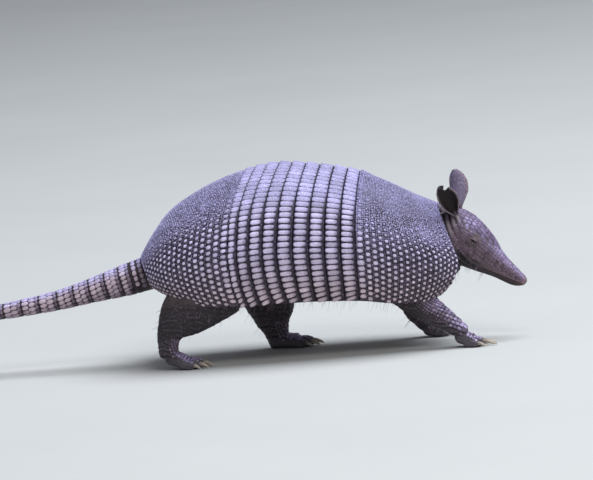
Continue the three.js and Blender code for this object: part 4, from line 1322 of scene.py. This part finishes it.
def paintSkin(skin):
    points = corners(skin) / mm
    local = toHead(points)
    a, hy, u = local.T
    x, y, z = points.T
    paint = np.tile(np.array(colour(96, 82, 82)[:3]), (len(points), 1))
    wrinkle = np.full(len(points), 0.3)

    def lay(tint, share):
        nonlocal paint
        share = np.clip(share, 0, 1)[:, None]
        paint = paint * (1 - share) + np.array(colour(*tint)[:3]) * share

    # belly, legs, ankles, feet
    lay((126, 106, 100), smooth(70, 58, z) * smooth(46, 30, np.abs(y)) * smooth(-6, 10, x))
    onLeg = smooth(74, 62, z) * (np.abs(y) > 26)
    lay((60, 52, 57), onLeg)
    lay((80, 72, 79), onLeg * smooth(40, 26, z))
    wave, share = legWave(points)
    # painted highlight on the crease ridges and painted shade in their troughs
    lay((104, 96, 104), share * smooth(0.15, 0.9, wave) * 0.75)
    lay((30, 25, 28), share * smooth(-0.1, -0.7, wave) * 0.85)
    lay((108, 101, 108), onLeg * smooth(15, 7, z))
    lay((70, 60, 62), (z < 1.0) * 1.0)
    wrinkle = np.where(onLeg > 0.3, smooth(10, 22, z), wrinkle)
    # tail
    lay((62, 51, 56), smooth(-30, -36, x))
    # neck and head
    onHead = smooth(262, 276, x) * (1 - smooth(74, 62, z) * (np.abs(y) > 24))
    lay((104, 90, 95), onHead)
    # painted highlight on the neck folds' ridges and painted shade in the folds between them
    lay((172, 158, 164), onHead * np.clip(neckRidge * 2.2, 0, 1))
    lay((46, 38, 42), onHead * np.clip(-neckRidge * 2.4, 0, 1))
    face = smooth(-12, -4, a) * (x > 272) * onHead
    lay((116, 98, 105), face)
    lay((126, 112, 124), face * smooth(4, 14, u))
    lay((134, 112, 118), face * smooth(36, 56, a))
    lay((150, 124, 134), smooth(72, 81, a) * face)
    # painted shade under the lower jaw
    lay((48, 40, 44), face * smooth(-5, -13, u) * smooth(46, 24, a))
    mouth = mouthLine(a)
    # painted shade below the mouth line
    lay((68, 56, 62), face * smooth(0.2, 1.6, mouth - u) * smooth(30, 38, a))
    lay((40, 33, 37), face * smooth(2.0, 5.0, mouth - u) * smooth(26, 38, a))
    lay((158, 112, 84), 0.7 * face * bell((u - mouth, 1.1)) * smooth(70, 76, a))
    lay((34, 26, 28), face * bell((u - mouth, 0.7)) * smooth(34, 40, a))
    for line, ends, _ in foldLines(a):
        ends = ends * face
        # painted highlight along each fold and painted shade in the groove below it
        lay((142, 126, 126), 0.7 * ends * bell((u - line - 0.2, 0.55)))
        lay((40, 33, 36), 0.6 * ends * bell((u - line + 2.2, 1.2)))
    for side in (-1, 1):
        pit = bell((hy - side * snout["nostril"], 0.9), (u - 0.4, 0.8)) * smooth(79, 81, a)
        # painted shade in the nostril pits
        lay((30, 20, 21), pit * 1.3)
        along, across, out = eyeSplit(local, side)
        oval, wave = lidRings(along, across)
        onLid = (out > 0) * (np.hypot(along, across) < 9)
        lay((150, 128, 134), onLid * smooth(7, 4.4, oval) * 0.8)
        # painted shade in the troughs between the lid rings
        lay((52, 41, 46), onLid * smooth(7.6, 5.6, oval) * (1 - (0.5 + 0.5 * wave)) ** 1.5)
        lay((168, 148, 156), onLid * bell((oval - 1.7, 0.4)) * 0.8)
        lay((24, 17, 18), onLid * (slitDepth(along, across) < 1.25) * (np.abs(along) < eyes["slit"] + 0.3))
    # ears: dark brown hollow, paler rim, grey pebbled back
    for key in ("right", "left"):
        share, v, off, on = earPlace(local, key)
        on = on * smooth(-0.02, 0.1, share)
        lay((140, 129, 152), on)
        lay((158, 134, 142), on * smooth(0.5, 0.95, np.abs(v)) * 0.7)
        wrinkle = np.where(on > 0.3, -1.0, wrinkle)
        lay((36, 25, 28), on * smooth(0.5, -0.4, off))
        lay((150, 136, 140), on * smooth(0.86, 0.99, np.abs(v)) * 0.8)
        lay((150, 136, 140), on * smooth(0.965, 1.0, share) * 0.7)
    store(skin, "paint", paint, "FLOAT_COLOR")
    store(skin, "wrinkle", wrinkle)


paintSkin(skin)
finishPiece(skin, hide, fleshNodes)
print("skin painted")


# tail scutes: in each ring small ones towards the body, then rows of larger ones to its rear edge
tailScutes = {"size": 4.9, "small": 3.6, "height": 0.9, "first": -33, "last": -359, "tipLeast": 1.5,
              "fill": 0.56, "gap": 1.3}


def addTailScutes():
    spots = []

    def addRow(arc, length, size, shift, height=1.0, within=math.pi):
        reach = float(tailLine.radius(arc))
        count = max(5, round(2 * math.pi * reach / size))
        for k in range(count):
            turn = ((k + shift) / count * 2 - 1) * math.pi
            if abs(turn) > within:
                continue
            grow = vary(0.05)
            spots.append((arc + dice.normal(0, 0.12), turn * reach, length * tailScutes["fill"] * grow,
                          math.pi * reach / count * 1.02 * grow, tailScutes["height"] * height, 2.5, 0.0))

    edges = list(tailLine.arcAtX(tail["rings"]))
    root = float(tailLine.arcAtX(tailScutes["first"]))
    for i, share in enumerate((0.3, 0.72)):
        addRow(root + (edges[0] - root) * share, 4.6, 6.2, 0.5 * i, 1.0, 2.2)
    small, least, gap = (tailScutes[label] for label in ("small", "tipLeast", "gap"))
    for start, end in zip(edges, edges[1:]):
        bigRows = 2 if end - start > 13 else 1
        length = (end - start - small - 1.5) / bigRows
        addRow(start + gap + small / 2, small, small * 1.3, 0.0, 0.6)
        for row in range(bigRows):
            at = start + gap + small + length * (row + 0.5)
            addRow(at, length, tailScutes["size"], 0.5 * (row + 1), 1.1)
    arc, end, row = edges[-1] + 0.8, float(tailLine.arcAtX(tailScutes["last"])), 0
    while arc < end:
        reach = float(tailLine.radius(arc))
        length = max(least, 0.66 * reach)
        addRow(arc + length / 2, length, max(least, 0.62 * reach), 0.5 * (row % 2), 0.25 + 0.1 * reach)
        arc, row = arc + length, row + 1

    def toSheet(laid):
        turns = laid[..., 1] / tailLine.radius(laid[..., 0])
        return tailLine.at(laid[..., 0], turns, laid[..., 2] - tail["sunk"] * 0.8)

    laid = layOnSheet(hexMould, spots, toSheet)
    arcs = np.array([s[0] for s in spots])
    turns = np.array([s[1] for s in spots]) / tailLine.radius(arcs)
    # painted light: painted sky sheen and a bluish painted sky tint on the top of the tail, painted shade
    # darkening the scutes underneath, and partly painted shade under the shell's rear edge darkening those
    # by the root
    above, under = smooth(1.35, 0.45, np.abs(turns)), smooth(1.5, 2.6, np.abs(turns))
    tones = np.clip(dice.normal(0.6, 0.24, len(laid)) - 0.6 * smooth(34, 10, arcs), 0, 1)
    inSmallRow = np.array([s[4] < tailScutes["height"] * 0.7 for s in spots]) & (arcs < edges[-1])
    crown = np.where(inSmallRow, 0.42, 1.0) - 0.4 * under - 0.4 * smooth(24, 14, arcs)
    crown = crownOf(hexMould) * crown[:, None]
    places = [(a / tailLine.arcs[-1], t / 2 / math.pi + 0.5) for a, t in zip(arcs, turns)]
    scutePiece("tailScutes", hexMould, laid, tones, 0.85 * above, 0.35 + 0.5 * above, places,
               tailHorn, crown)


addTailScutes()
print("tail scutes laid")


# the casque: a low plate on the crown, covered with scales
casque = {"from": -17, "to": 42, "back": 58, "front": 34, "lift": 1.35, "wall": 2.2, "scale": 4.9,
          "height": 0.75}


def casqueHalf(share):
    share = np.clip(share, 0, 1)
    half = casque["back"] + (casque["front"] - casque["back"]) * share**1.5
    return np.radians(half) * (0.55 + 0.45 * np.sqrt(np.sin(math.pi * np.clip(share, 0.02, 0.98))))


def casqueLift(share, v):
    ends = smooth(-0.01, 0.12, share) * smooth(1.01, 0.8, share)
    return casque["lift"] * np.sqrt(np.clip(1 - np.abs(v) ** 3, 0, 1)) * np.sqrt(ends)


def headOutside(along, angle, lift):
    # a point of the head's plain form, at an angle from the crown towards the left, in mm of the row's frame
    top, _, half = headSize(along)
    wide, high = ovalShape(angle, headFrame["square"])
    return fromHead(np.stack([along, (half + lift) * wide, (top + lift) * high], -1))


def addCasque():
    bpy.ops.mesh.primitive_grid_add(x_subdivisions=48, y_subdivisions=48, size=2, location=(0, 0, 0))
    plate = named("casquePlate")
    flat = corners(plate)
    share, v = (flat[:, 0] + 1) / 2, -flat[:, 1]
    along = casque["from"] + (casque["to"] - casque["from"]) * share
    setCorners(plate, headOutside(along, -v * casqueHalf(share), casqueLift(share, v) - 0.3) * mm)
    # the plate gets the bluish painted sky tint of the top of the head
    for name, value in (("crown", 0.22), ("tone", 0.4), ("dorsal", 0.2), ("paintedskylight", 0.8)):
        store(plate, name, np.full(len(flat), value))
    applyModifier(plate, "SOLIDIFY", thickness=casque["wall"] * mm, offset=-1)
    finishPiece(plate, faceHorn, ["head_shield"])
    spots, size = [], casque["scale"]
    rows = int((casque["to"] - casque["from"]) / size)
    for row in range(rows):
        share = (row + 0.5) / rows
        along = casque["from"] + (casque["to"] - casque["from"]) * share
        top, _, half = headSize(along)
        reach = (top + half) / 2 + 1.2
        edge = float(casqueHalf(share)) * reach
        count = max(2, round(2 * edge / size))
        for k in range(count + row % 2):
            arc = (k + 0.5 * (1 - row % 2)) / count * 2 * edge - edge
            if abs(arc) > edge * 1.01:
                continue
            grow = vary(0.06)
            spots.append((along + dice.normal(0, 0.25), arc / reach, size * 0.53 * grow,
                          size * 0.485 * grow / reach, casque["height"] * vary(0.12), 2.6, 0.0))

    def toSheet(laid):
        share = (laid[..., 0] - casque["from"]) / (casque["to"] - casque["from"])
        v = np.clip(np.abs(laid[..., 1]) / casqueHalf(share), 0, 1)
        lift = np.maximum(casqueLift(share, v), 0.25) + laid[..., 2] - 0.35
        return headOutside(laid[..., 0], laid[..., 1], lift) * mm

    laid = layOnSheet(hexMould, [(a, v, u, -w, h, p, k) for a, v, u, w, h, p, k in spots], toSheet)
    tones = mixedTones(0.5, 0.28, len(laid))
    at = np.array([(s[0], s[1]) for s in spots])
    # the scales behind and above the eyes are the palest
    pale = bell((at[:, 0] - 1, 8), (np.abs(at[:, 1]) - 0.74, 0.26))
    places = [((a + 20) / 70, v / 2.4 + 0.5) for a, v in at]
    crown = crownOf(hexMould) * np.clip(0.24 + 0.26 * tones + 0.9 * pale, 0, 1.2)[:, None]
    # the scales get the bluish painted sky tint of the top of the head, and the palest ones the most painted
    # sky sheen
    scutePiece("casqueScales", hexMould, laid, tones, 0.3 + 0.4 * pale, np.full(len(laid), 0.95), places,
               faceHorn, crown)


addCasque()


# scales that are laid on the skin, each settled onto the skin under it
def settle(points, lift):
    # moves points in metres onto the skin, and then off it by their lifts in mm
    settled = np.empty_like(points)
    for i, (point, off) in enumerate(zip(points, lift)):
        found, normal, _, _ = skinTree.find_nearest(Vector(point))
        settled[i] = found + normal * (off * mm)
    return settled


def layOnSkin(mould, spots, tilt=0.0):
    # spots: a place in mm, a direction ahead, a direction out, half length, half width, height and power
    # tilt raises the ahead end, so that each scale overlaps the next one
    points = mould[0]
    laid = np.empty((len(spots), len(points), 3))
    for i, (place, ahead, out, halfLength, halfWidth, height, power) in enumerate(spots):
        local = squared(points, power)
        ahead = unit(ahead - out * (ahead @ out))
        across = np.cross(out, ahead)
        flat = place + local[:, :1] * halfLength * ahead + local[:, 1:2] * halfWidth * across
        laid[i] = settle(flat * mm, (local[:, 2] - sunkShare) * height + tilt * np.clip(local[:, 0], -1, 1))
    return laid


faceScales = {"from": -9, "to": 80, "height": 0.5, "sizes": ((0, 18, 42, 80), (2.5, 3.0, 3.3, 2.0)),
              "limits": ((-9, 0, 19, 32, 40, 50, 62, 80), (92, 104, 106, 106, 106, 112, 116, 108)),
              "clearOfEye": 6.8, "nostril": (2.6, 2.0, 2.4), "tilt": 0.12}


def bareFace(along, local, side):
    # no scales stand on the lids or in the nostrils
    eyeAlong, eyeAcross, out = eyeSplit(local[None], side)
    if math.hypot(eyeAlong[0], eyeAcross[0]) < faceScales["clearOfEye"] and out[0] > -3:
        return True
    middle, wide, high = faceScales["nostril"]
    return along > 77.5 and abs(abs(local[1]) - middle) < wide and abs(local[2]) < high


def addFaceScales():
    spots, places, palest = [], [], []
    along, row = faceScales["from"], 0
    while along < faceScales["to"]:
        size = float(np.interp(along, *faceScales["sizes"]))
        top, _, half = headSize(along)
        reach = (top + half) / 2
        limit = math.radians(np.interp(along, *faceScales["limits"]))
        onCasque = (along - casque["from"]) / (casque["to"] - casque["from"])
        inner = float(casqueHalf(onCasque)) if onCasque < 1 else 0
        jitter = 0.15 if along > 20 else 0.4
        for k in range(-40, 41):
            angle = (k + 0.5 * (row % 2)) * size / reach
            if abs(angle) > limit or (inner and abs(angle) < inner + 0.5 * size / reach):
                continue
            at = np.array(along + dice.normal(0, jitter))
            place = headOutside(at, np.array(angle + dice.normal(0, jitter) / reach), 0.0)
            if bareFace(along, toHead(place), 1 if angle > 0 else -1):
                continue
            found, normal, _, _ = skinTree.find_nearest(Vector(place * mm))
            ahead = headTurn @ np.array([1.0, 0, -0.22])
            grow = vary(0.07)
            spots.append((np.array(found) / mm, ahead, np.array(normal), size * 0.6 * grow,
                          size * 0.5 * grow, faceScales["height"] * (0.6 + 0.12 * size), 2.5))
            places.append((along / 90, angle / 4 + 0.5))
            palest.append(float(smooth(1.5, 0.6, abs(angle))))
        along, row = along + size * 1.02, row + 1
    laid = layOnSkin(hexMould, spots, faceScales["tilt"])
    tones = mixedTones(0.5, 0.22, len(laid))
    palest = np.array(palest)
    # painted light from above: scales nearer the crown are painted paler, with more painted sky sheen and a
    # bluer painted sky tint
    crown = crownOf(hexMould) * np.clip(0.22 + 0.3 * tones + 0.3 * palest, 0, 1.1)[:, None]
    scutePiece("faceScales", hexMould, laid, tones, 0.35 * palest, 0.3 + 0.6 * palest, places,
               faceHorn, crown)


addFaceScales()
print("head scales laid")


# small scales down the front of each leg, over the foot and on the toes
limbScales = {"height": 0.7, "toeStep": 2.9, "toeHeight": 0.75, "tilt": 0.14,
              "toeWidths": ((0, 1, 1.5), (0.62, 0.72, 0.6))}
limbRows = {  # the share of the leg where they start, their sizes there and at the foot, and how far round
    "foreRight": (0.18, 2.1, 5.0, 116), "foreLeft": (0.4, 2.4, 3.6, 100),
    "hindRight": (0.66, 2.6, 3.6, 88), "hindLeft": (0.6, 2.6, 3.8, 88),
}


def lineAhead(line, share):
    step = 1e-3
    return unit(curvePoint(line, np.array(share + step))[:3] - curvePoint(line, np.array(share - step))[:3])


def scaleRows(key, cell, spots, places):
    # rows round a leg's line of centres; each scale is found by looking outwards from the line
    start, topSize, footSize, around = limbRows[key]
    line, around = np.array(legs[key], float), math.radians(around)
    shares = np.linspace(start, 1, 200)
    arcs = lengths(curvePoint(line, shares)[:, :3])
    arc, row = 0.0, 0
    while arc < arcs[-1]:
        down = arc / arcs[-1]
        size = topSize + (footSize - topSize) * down
        share = float(np.interp(arc, arcs, shares))
        centre = curvePoint(line, np.array(share))
        ahead = lineAhead(line, share)
        across = unit(np.array([0, 1, 0]) - ahead * ahead[1])
        front = np.cross(ahead, across)
        look = 1.7 * max(centre[3], centre[4]) * mm
        for k in range(-40, 41):
            angle = (k + 0.5 * (row % 2)) * size / centre[3]
            if abs(angle) > around * vary(0.05):
                continue
            out = across * math.sin(angle) + front * math.cos(angle)
            found, normal, _, _ = skinTree.ray_cast(Vector(centre[:3] * mm), Vector(out), look)
            if found is None:
                continue
            fade = float(smooth(1.0, 0.6, abs(angle) / around) * smooth(-0.05, 0.25, down))
            if fade < 0.12 + 0.1 * dice.random():
                continue
            grow = (0.45 + 0.55 * fade) * vary(0.08)
            height = limbScales["height"] * (0.5 + 0.14 * size) * (0.5 + 0.5 * fade)
            spots.append((np.array(found) / mm, ahead, np.array(normal), size * 0.58 * grow,
                          size * 0.5 * grow, height, 2.4))
            places.append(((cell + 0.05 + 0.9 * (angle / 4.2 + 0.5)) / 8, 0.05 + 0.9 * down))
        arc, row = arc + size * 1.02, row + 1


def toeScales(key, i, cell, spots, places):
    # one row along a toe, from its root behind the ball of the foot to its tip
    toes, _, heel, _, _, ball, _ = feet[key]
    _, reach, r, _ = toes[i]
    root, tip = np.array(onToe(key, toes[i], 0, r)), np.array(onToe(key, toes[i], reach, r))
    back = np.array([heel[0], heel[1] + 0.45 * (root[1] - ball[1]), r])
    back = back + (root - back) * 0.2
    toRoot, toTip = np.linalg.norm(root - back), np.linalg.norm(tip - root)
    whole = toRoot + toTip
    count = round(whole / limbScales["toeStep"])
    for step in range(count):
        share = (step + 0.5) / count * whole / toRoot
        low, ahead = back + (root - back) * share, unit(root - back)
        if share > 1:
            low = root + (tip - root) * (step + 0.5 - count) / count * whole / toTip + (tip - root)
            ahead = unit(tip - root)
        found, normal, _, _ = skinTree.ray_cast(Vector(low * mm), Vector((0, 0, 1)), 22 * mm)
        if found is None or normal[2] < 0.2:
            continue
        wide = r * float(np.interp(share, *limbScales["toeWidths"]))
        spots.append((np.array(found) / mm, ahead, np.array(normal), limbScales["toeStep"] * 0.56, wide,
                      limbScales["toeHeight"], 2.8))
        places.append(((cell + 4.1 + 0.8 * i / len(toes)) / 8, 0.1 + 0.8 * step / count))


def addLimbScales():
    spots, places = [], []
    for cell, key in enumerate(limbRows):
        scaleRows(key, cell, spots, places)
        for i in range(len(feet[key][0])):
            toeScales(key, i, cell, spots, places)
    laid = layOnSkin(hexMould, spots, limbScales["tilt"])
    tones = mixedTones(0.5, 0.2, len(laid))
    # painted light from above: scales that face up are painted paler, with painted sky sheen and a bluer
    # painted sky tint
    facing = smooth(0.0, 0.8, np.array([spot[2][2] for spot in spots]))
    crown = crownOf(hexMould) * np.clip(0.36 + 0.3 * tones + 0.3 * facing, 0, 1.1)[:, None]
    scutePiece("limbScales", hexMould, laid, tones, 0.45 * facing, 0.25 + 0.5 * facing, places,
               limbHorn, crown)


addLimbScales()
print("limb scales laid")


# bristles: few and short, on the belly's edge, the legs and the throat
bristles = {"count": 430, "length": (7, 2.4), "radius": 0.11, "droop": 0.3}


def addBristles():
    mould = makeMould("bristleMould", 3, [(0.3, 0.9), (0.3, 0.7), (0.25, 0.45)], 0.15)
    centres = readVectors(skin.data.polygons, "center") / mm
    outwards = readVectors(skin.data.polygons, "normal")
    x, y, z = centres.T
    belly = (z < 68) & (z > 40) & (x > 0) & (x < 262) & (np.abs(y) > 22)
    onLegs = (z < 66) & (z > 14) & (np.abs(y) > 26) & (outwards[:, 0] < 0.3)
    throat = (x > 268) & (x < 318) & (outwards[:, 2] < -0.35) & (z > 55) & (z < 94) & (np.abs(y) < 24)
    wanted = np.flatnonzero((belly | onLegs | throat) & (outwards[:, 2] < 0.5))
    chosen = dice.choice(wanted, bristles["count"], replace=False)
    laid, places = [], []
    for at, out in zip(centres[chosen], outwards[chosen]):
        ahead = unit(out + np.array([-0.5, 0, -0.5]) + dice.normal(0, 0.22, 3))
        across = unit(np.cross(ahead, np.array([0.3, 1.0, 0.2])))
        third = np.cross(ahead, across)
        length = float(np.clip(dice.normal(*bristles["length"]), 3, 15))
        local = mould[0]
        hair = at + local[:, :1] * bristles["radius"] * across + local[:, 1:2] * bristles["radius"] * third
        hair += (local[:, 2:] * length - 0.3) * ahead
        hair[:, 2] -= bristles["droop"] * length * local[:, 2] ** 2
        hair[:, 2] = np.maximum(hair[:, 2], 0.2)
        laid.append(hair * mm)
        places.append(((at[0] + 363) / 726, math.atan2(at[1], at[2] - 60) / 2 / math.pi + 0.5))
    count = len(laid)
    # the bristles get the warm end of the painted sky tint
    scutePiece("bristles", mould, laid, mixedTones(0.6, 0.3, count), np.zeros(count), np.full(count, 0.2),
               places, limbHorn, np.full((count, len(mould[0])), 0.8))


addBristles()
print("bristles set")


# eyes
def addEye(name, node, side):
    ball = addSphere(fromHead(eyeCentre(side)), eyes["radius"], 40, 24)
    ball.name = name
    bpy.ops.object.transform_apply(location=True, rotation=True, scale=True)
    points = corners(ball)
    away = points - fromHead(eyeCentre(side)) * mm
    outward = unit(np.array([0, side, 0]) @ headTurn.T)
    # the cornea bulges a little
    swell = smooth(0.86, 1.0, (away @ outward) / (eyes["radius"] * mm))
    setCorners(ball, points + outward * (0.35 * mm * swell)[:, None])
    finishPiece(ball, wetEye, [node])


addEye("eyeRight", "eye_right", -1)
addEye("eyeLeft", "eye_left", 1)


# claws: curved, narrow and a little flattened at the sides
claws = {"sunk": 2.6, "wide": 0.56, "deep": 0.60, "taper": 0.62}


def addClaw(name, node, key, toe):
    _, reach, r, length = toe
    start, length = reach - claws["sunk"], length + claws["sunk"]
    stations = []
    for share in np.linspace(0, 1, 9):
        lift = r * (0.95 + 0.10 * math.sin(share * math.pi)) * (1 - share**2.2) + 0.22 * r * share
        thick = (1 - share) ** claws["taper"]
        stations.append((*onToe(key, toe, start + length * share, lift), r * claws["wide"] * thick + 0.12,
                         r * claws["deep"] * thick + 0.14))
    claw = limb(name, stations, 20, 26, 0.2, 0.3)
    points = corners(claw) / mm
    root = np.array(onToe(key, toe, start, 0))
    ahead = unit(np.array(onToe(key, toe, start + 1, 0)) - root)
    share = np.clip((points - root) @ ahead / length, 0, 1)
    points[:, 2] = np.maximum(points[:, 2], 0.05)
    setCorners(claw, points * mm)
    store(claw, "along", share)
    finishPiece(claw, clawHorn, [node])


for key, (toes, *_, clawNode) in feet.items():
    for i, toe in enumerate(toes):
        addClaw(f"{clawNode}_{i + 1}_horn", f"{clawNode}_{i + 1}", key, toe)
print("eyes and claws made")


# floor, light and sky
bpy.ops.mesh.primitive_plane_add(size=30, location=(0, 0, 0))
floor = named("studioFloor")
pale, tree, shader, place = newMaterial("paleFloor", 0.3)
tint = noise(tree, place, 3.0, 4.0).outputs[0]
tint = blendColour(tree, tint, colour(196, 198, 194), colour(206, 207, 203))
tree.links.new(tint, shader.inputs["Base Color"])
shader.inputs["Roughness"].default_value = 0.85
floor.data.materials.append(pale)


def addLight(name, place, aim, size, watts, tint):
    bpy.ops.object.light_add(type="AREA", location=place)
    lamp = named(name)
    lamp.data.shape = "DISK"
    lamp.data.size = size
    lamp.data.energy = watts
    lamp.data.color = tint
    lamp.rotation_euler = (Vector(aim) - Vector(place)).to_track_quat("-Z", "Y").to_euler()


lamps = {  # place, what it points at, size, watts and tint
    "skyLight": ((1.9, 0.5, 5.0), (0.1, 0, 0.1), 4.2, 345, (0.88, 0.92, 1.0)),
    "keyLight": ((0.7, -1.9, 2.3), (0.1, 0, 0.1), 1.1, 17, (1.0, 0.97, 0.96)),
}
for name, settings in lamps.items():
    addLight(name, *settings)
sky = bpy.data.worlds.new("softSky")
sky.use_nodes = True
glow = sky.node_tree.nodes["Background"].inputs
glow["Color"].default_value = (0.84, 0.88, 1.0, 1.0)
glow["Strength"].default_value = 0.27
bpy.context.scene.world = sky
bpy.context.scene.view_settings.view_transform = "Standard"
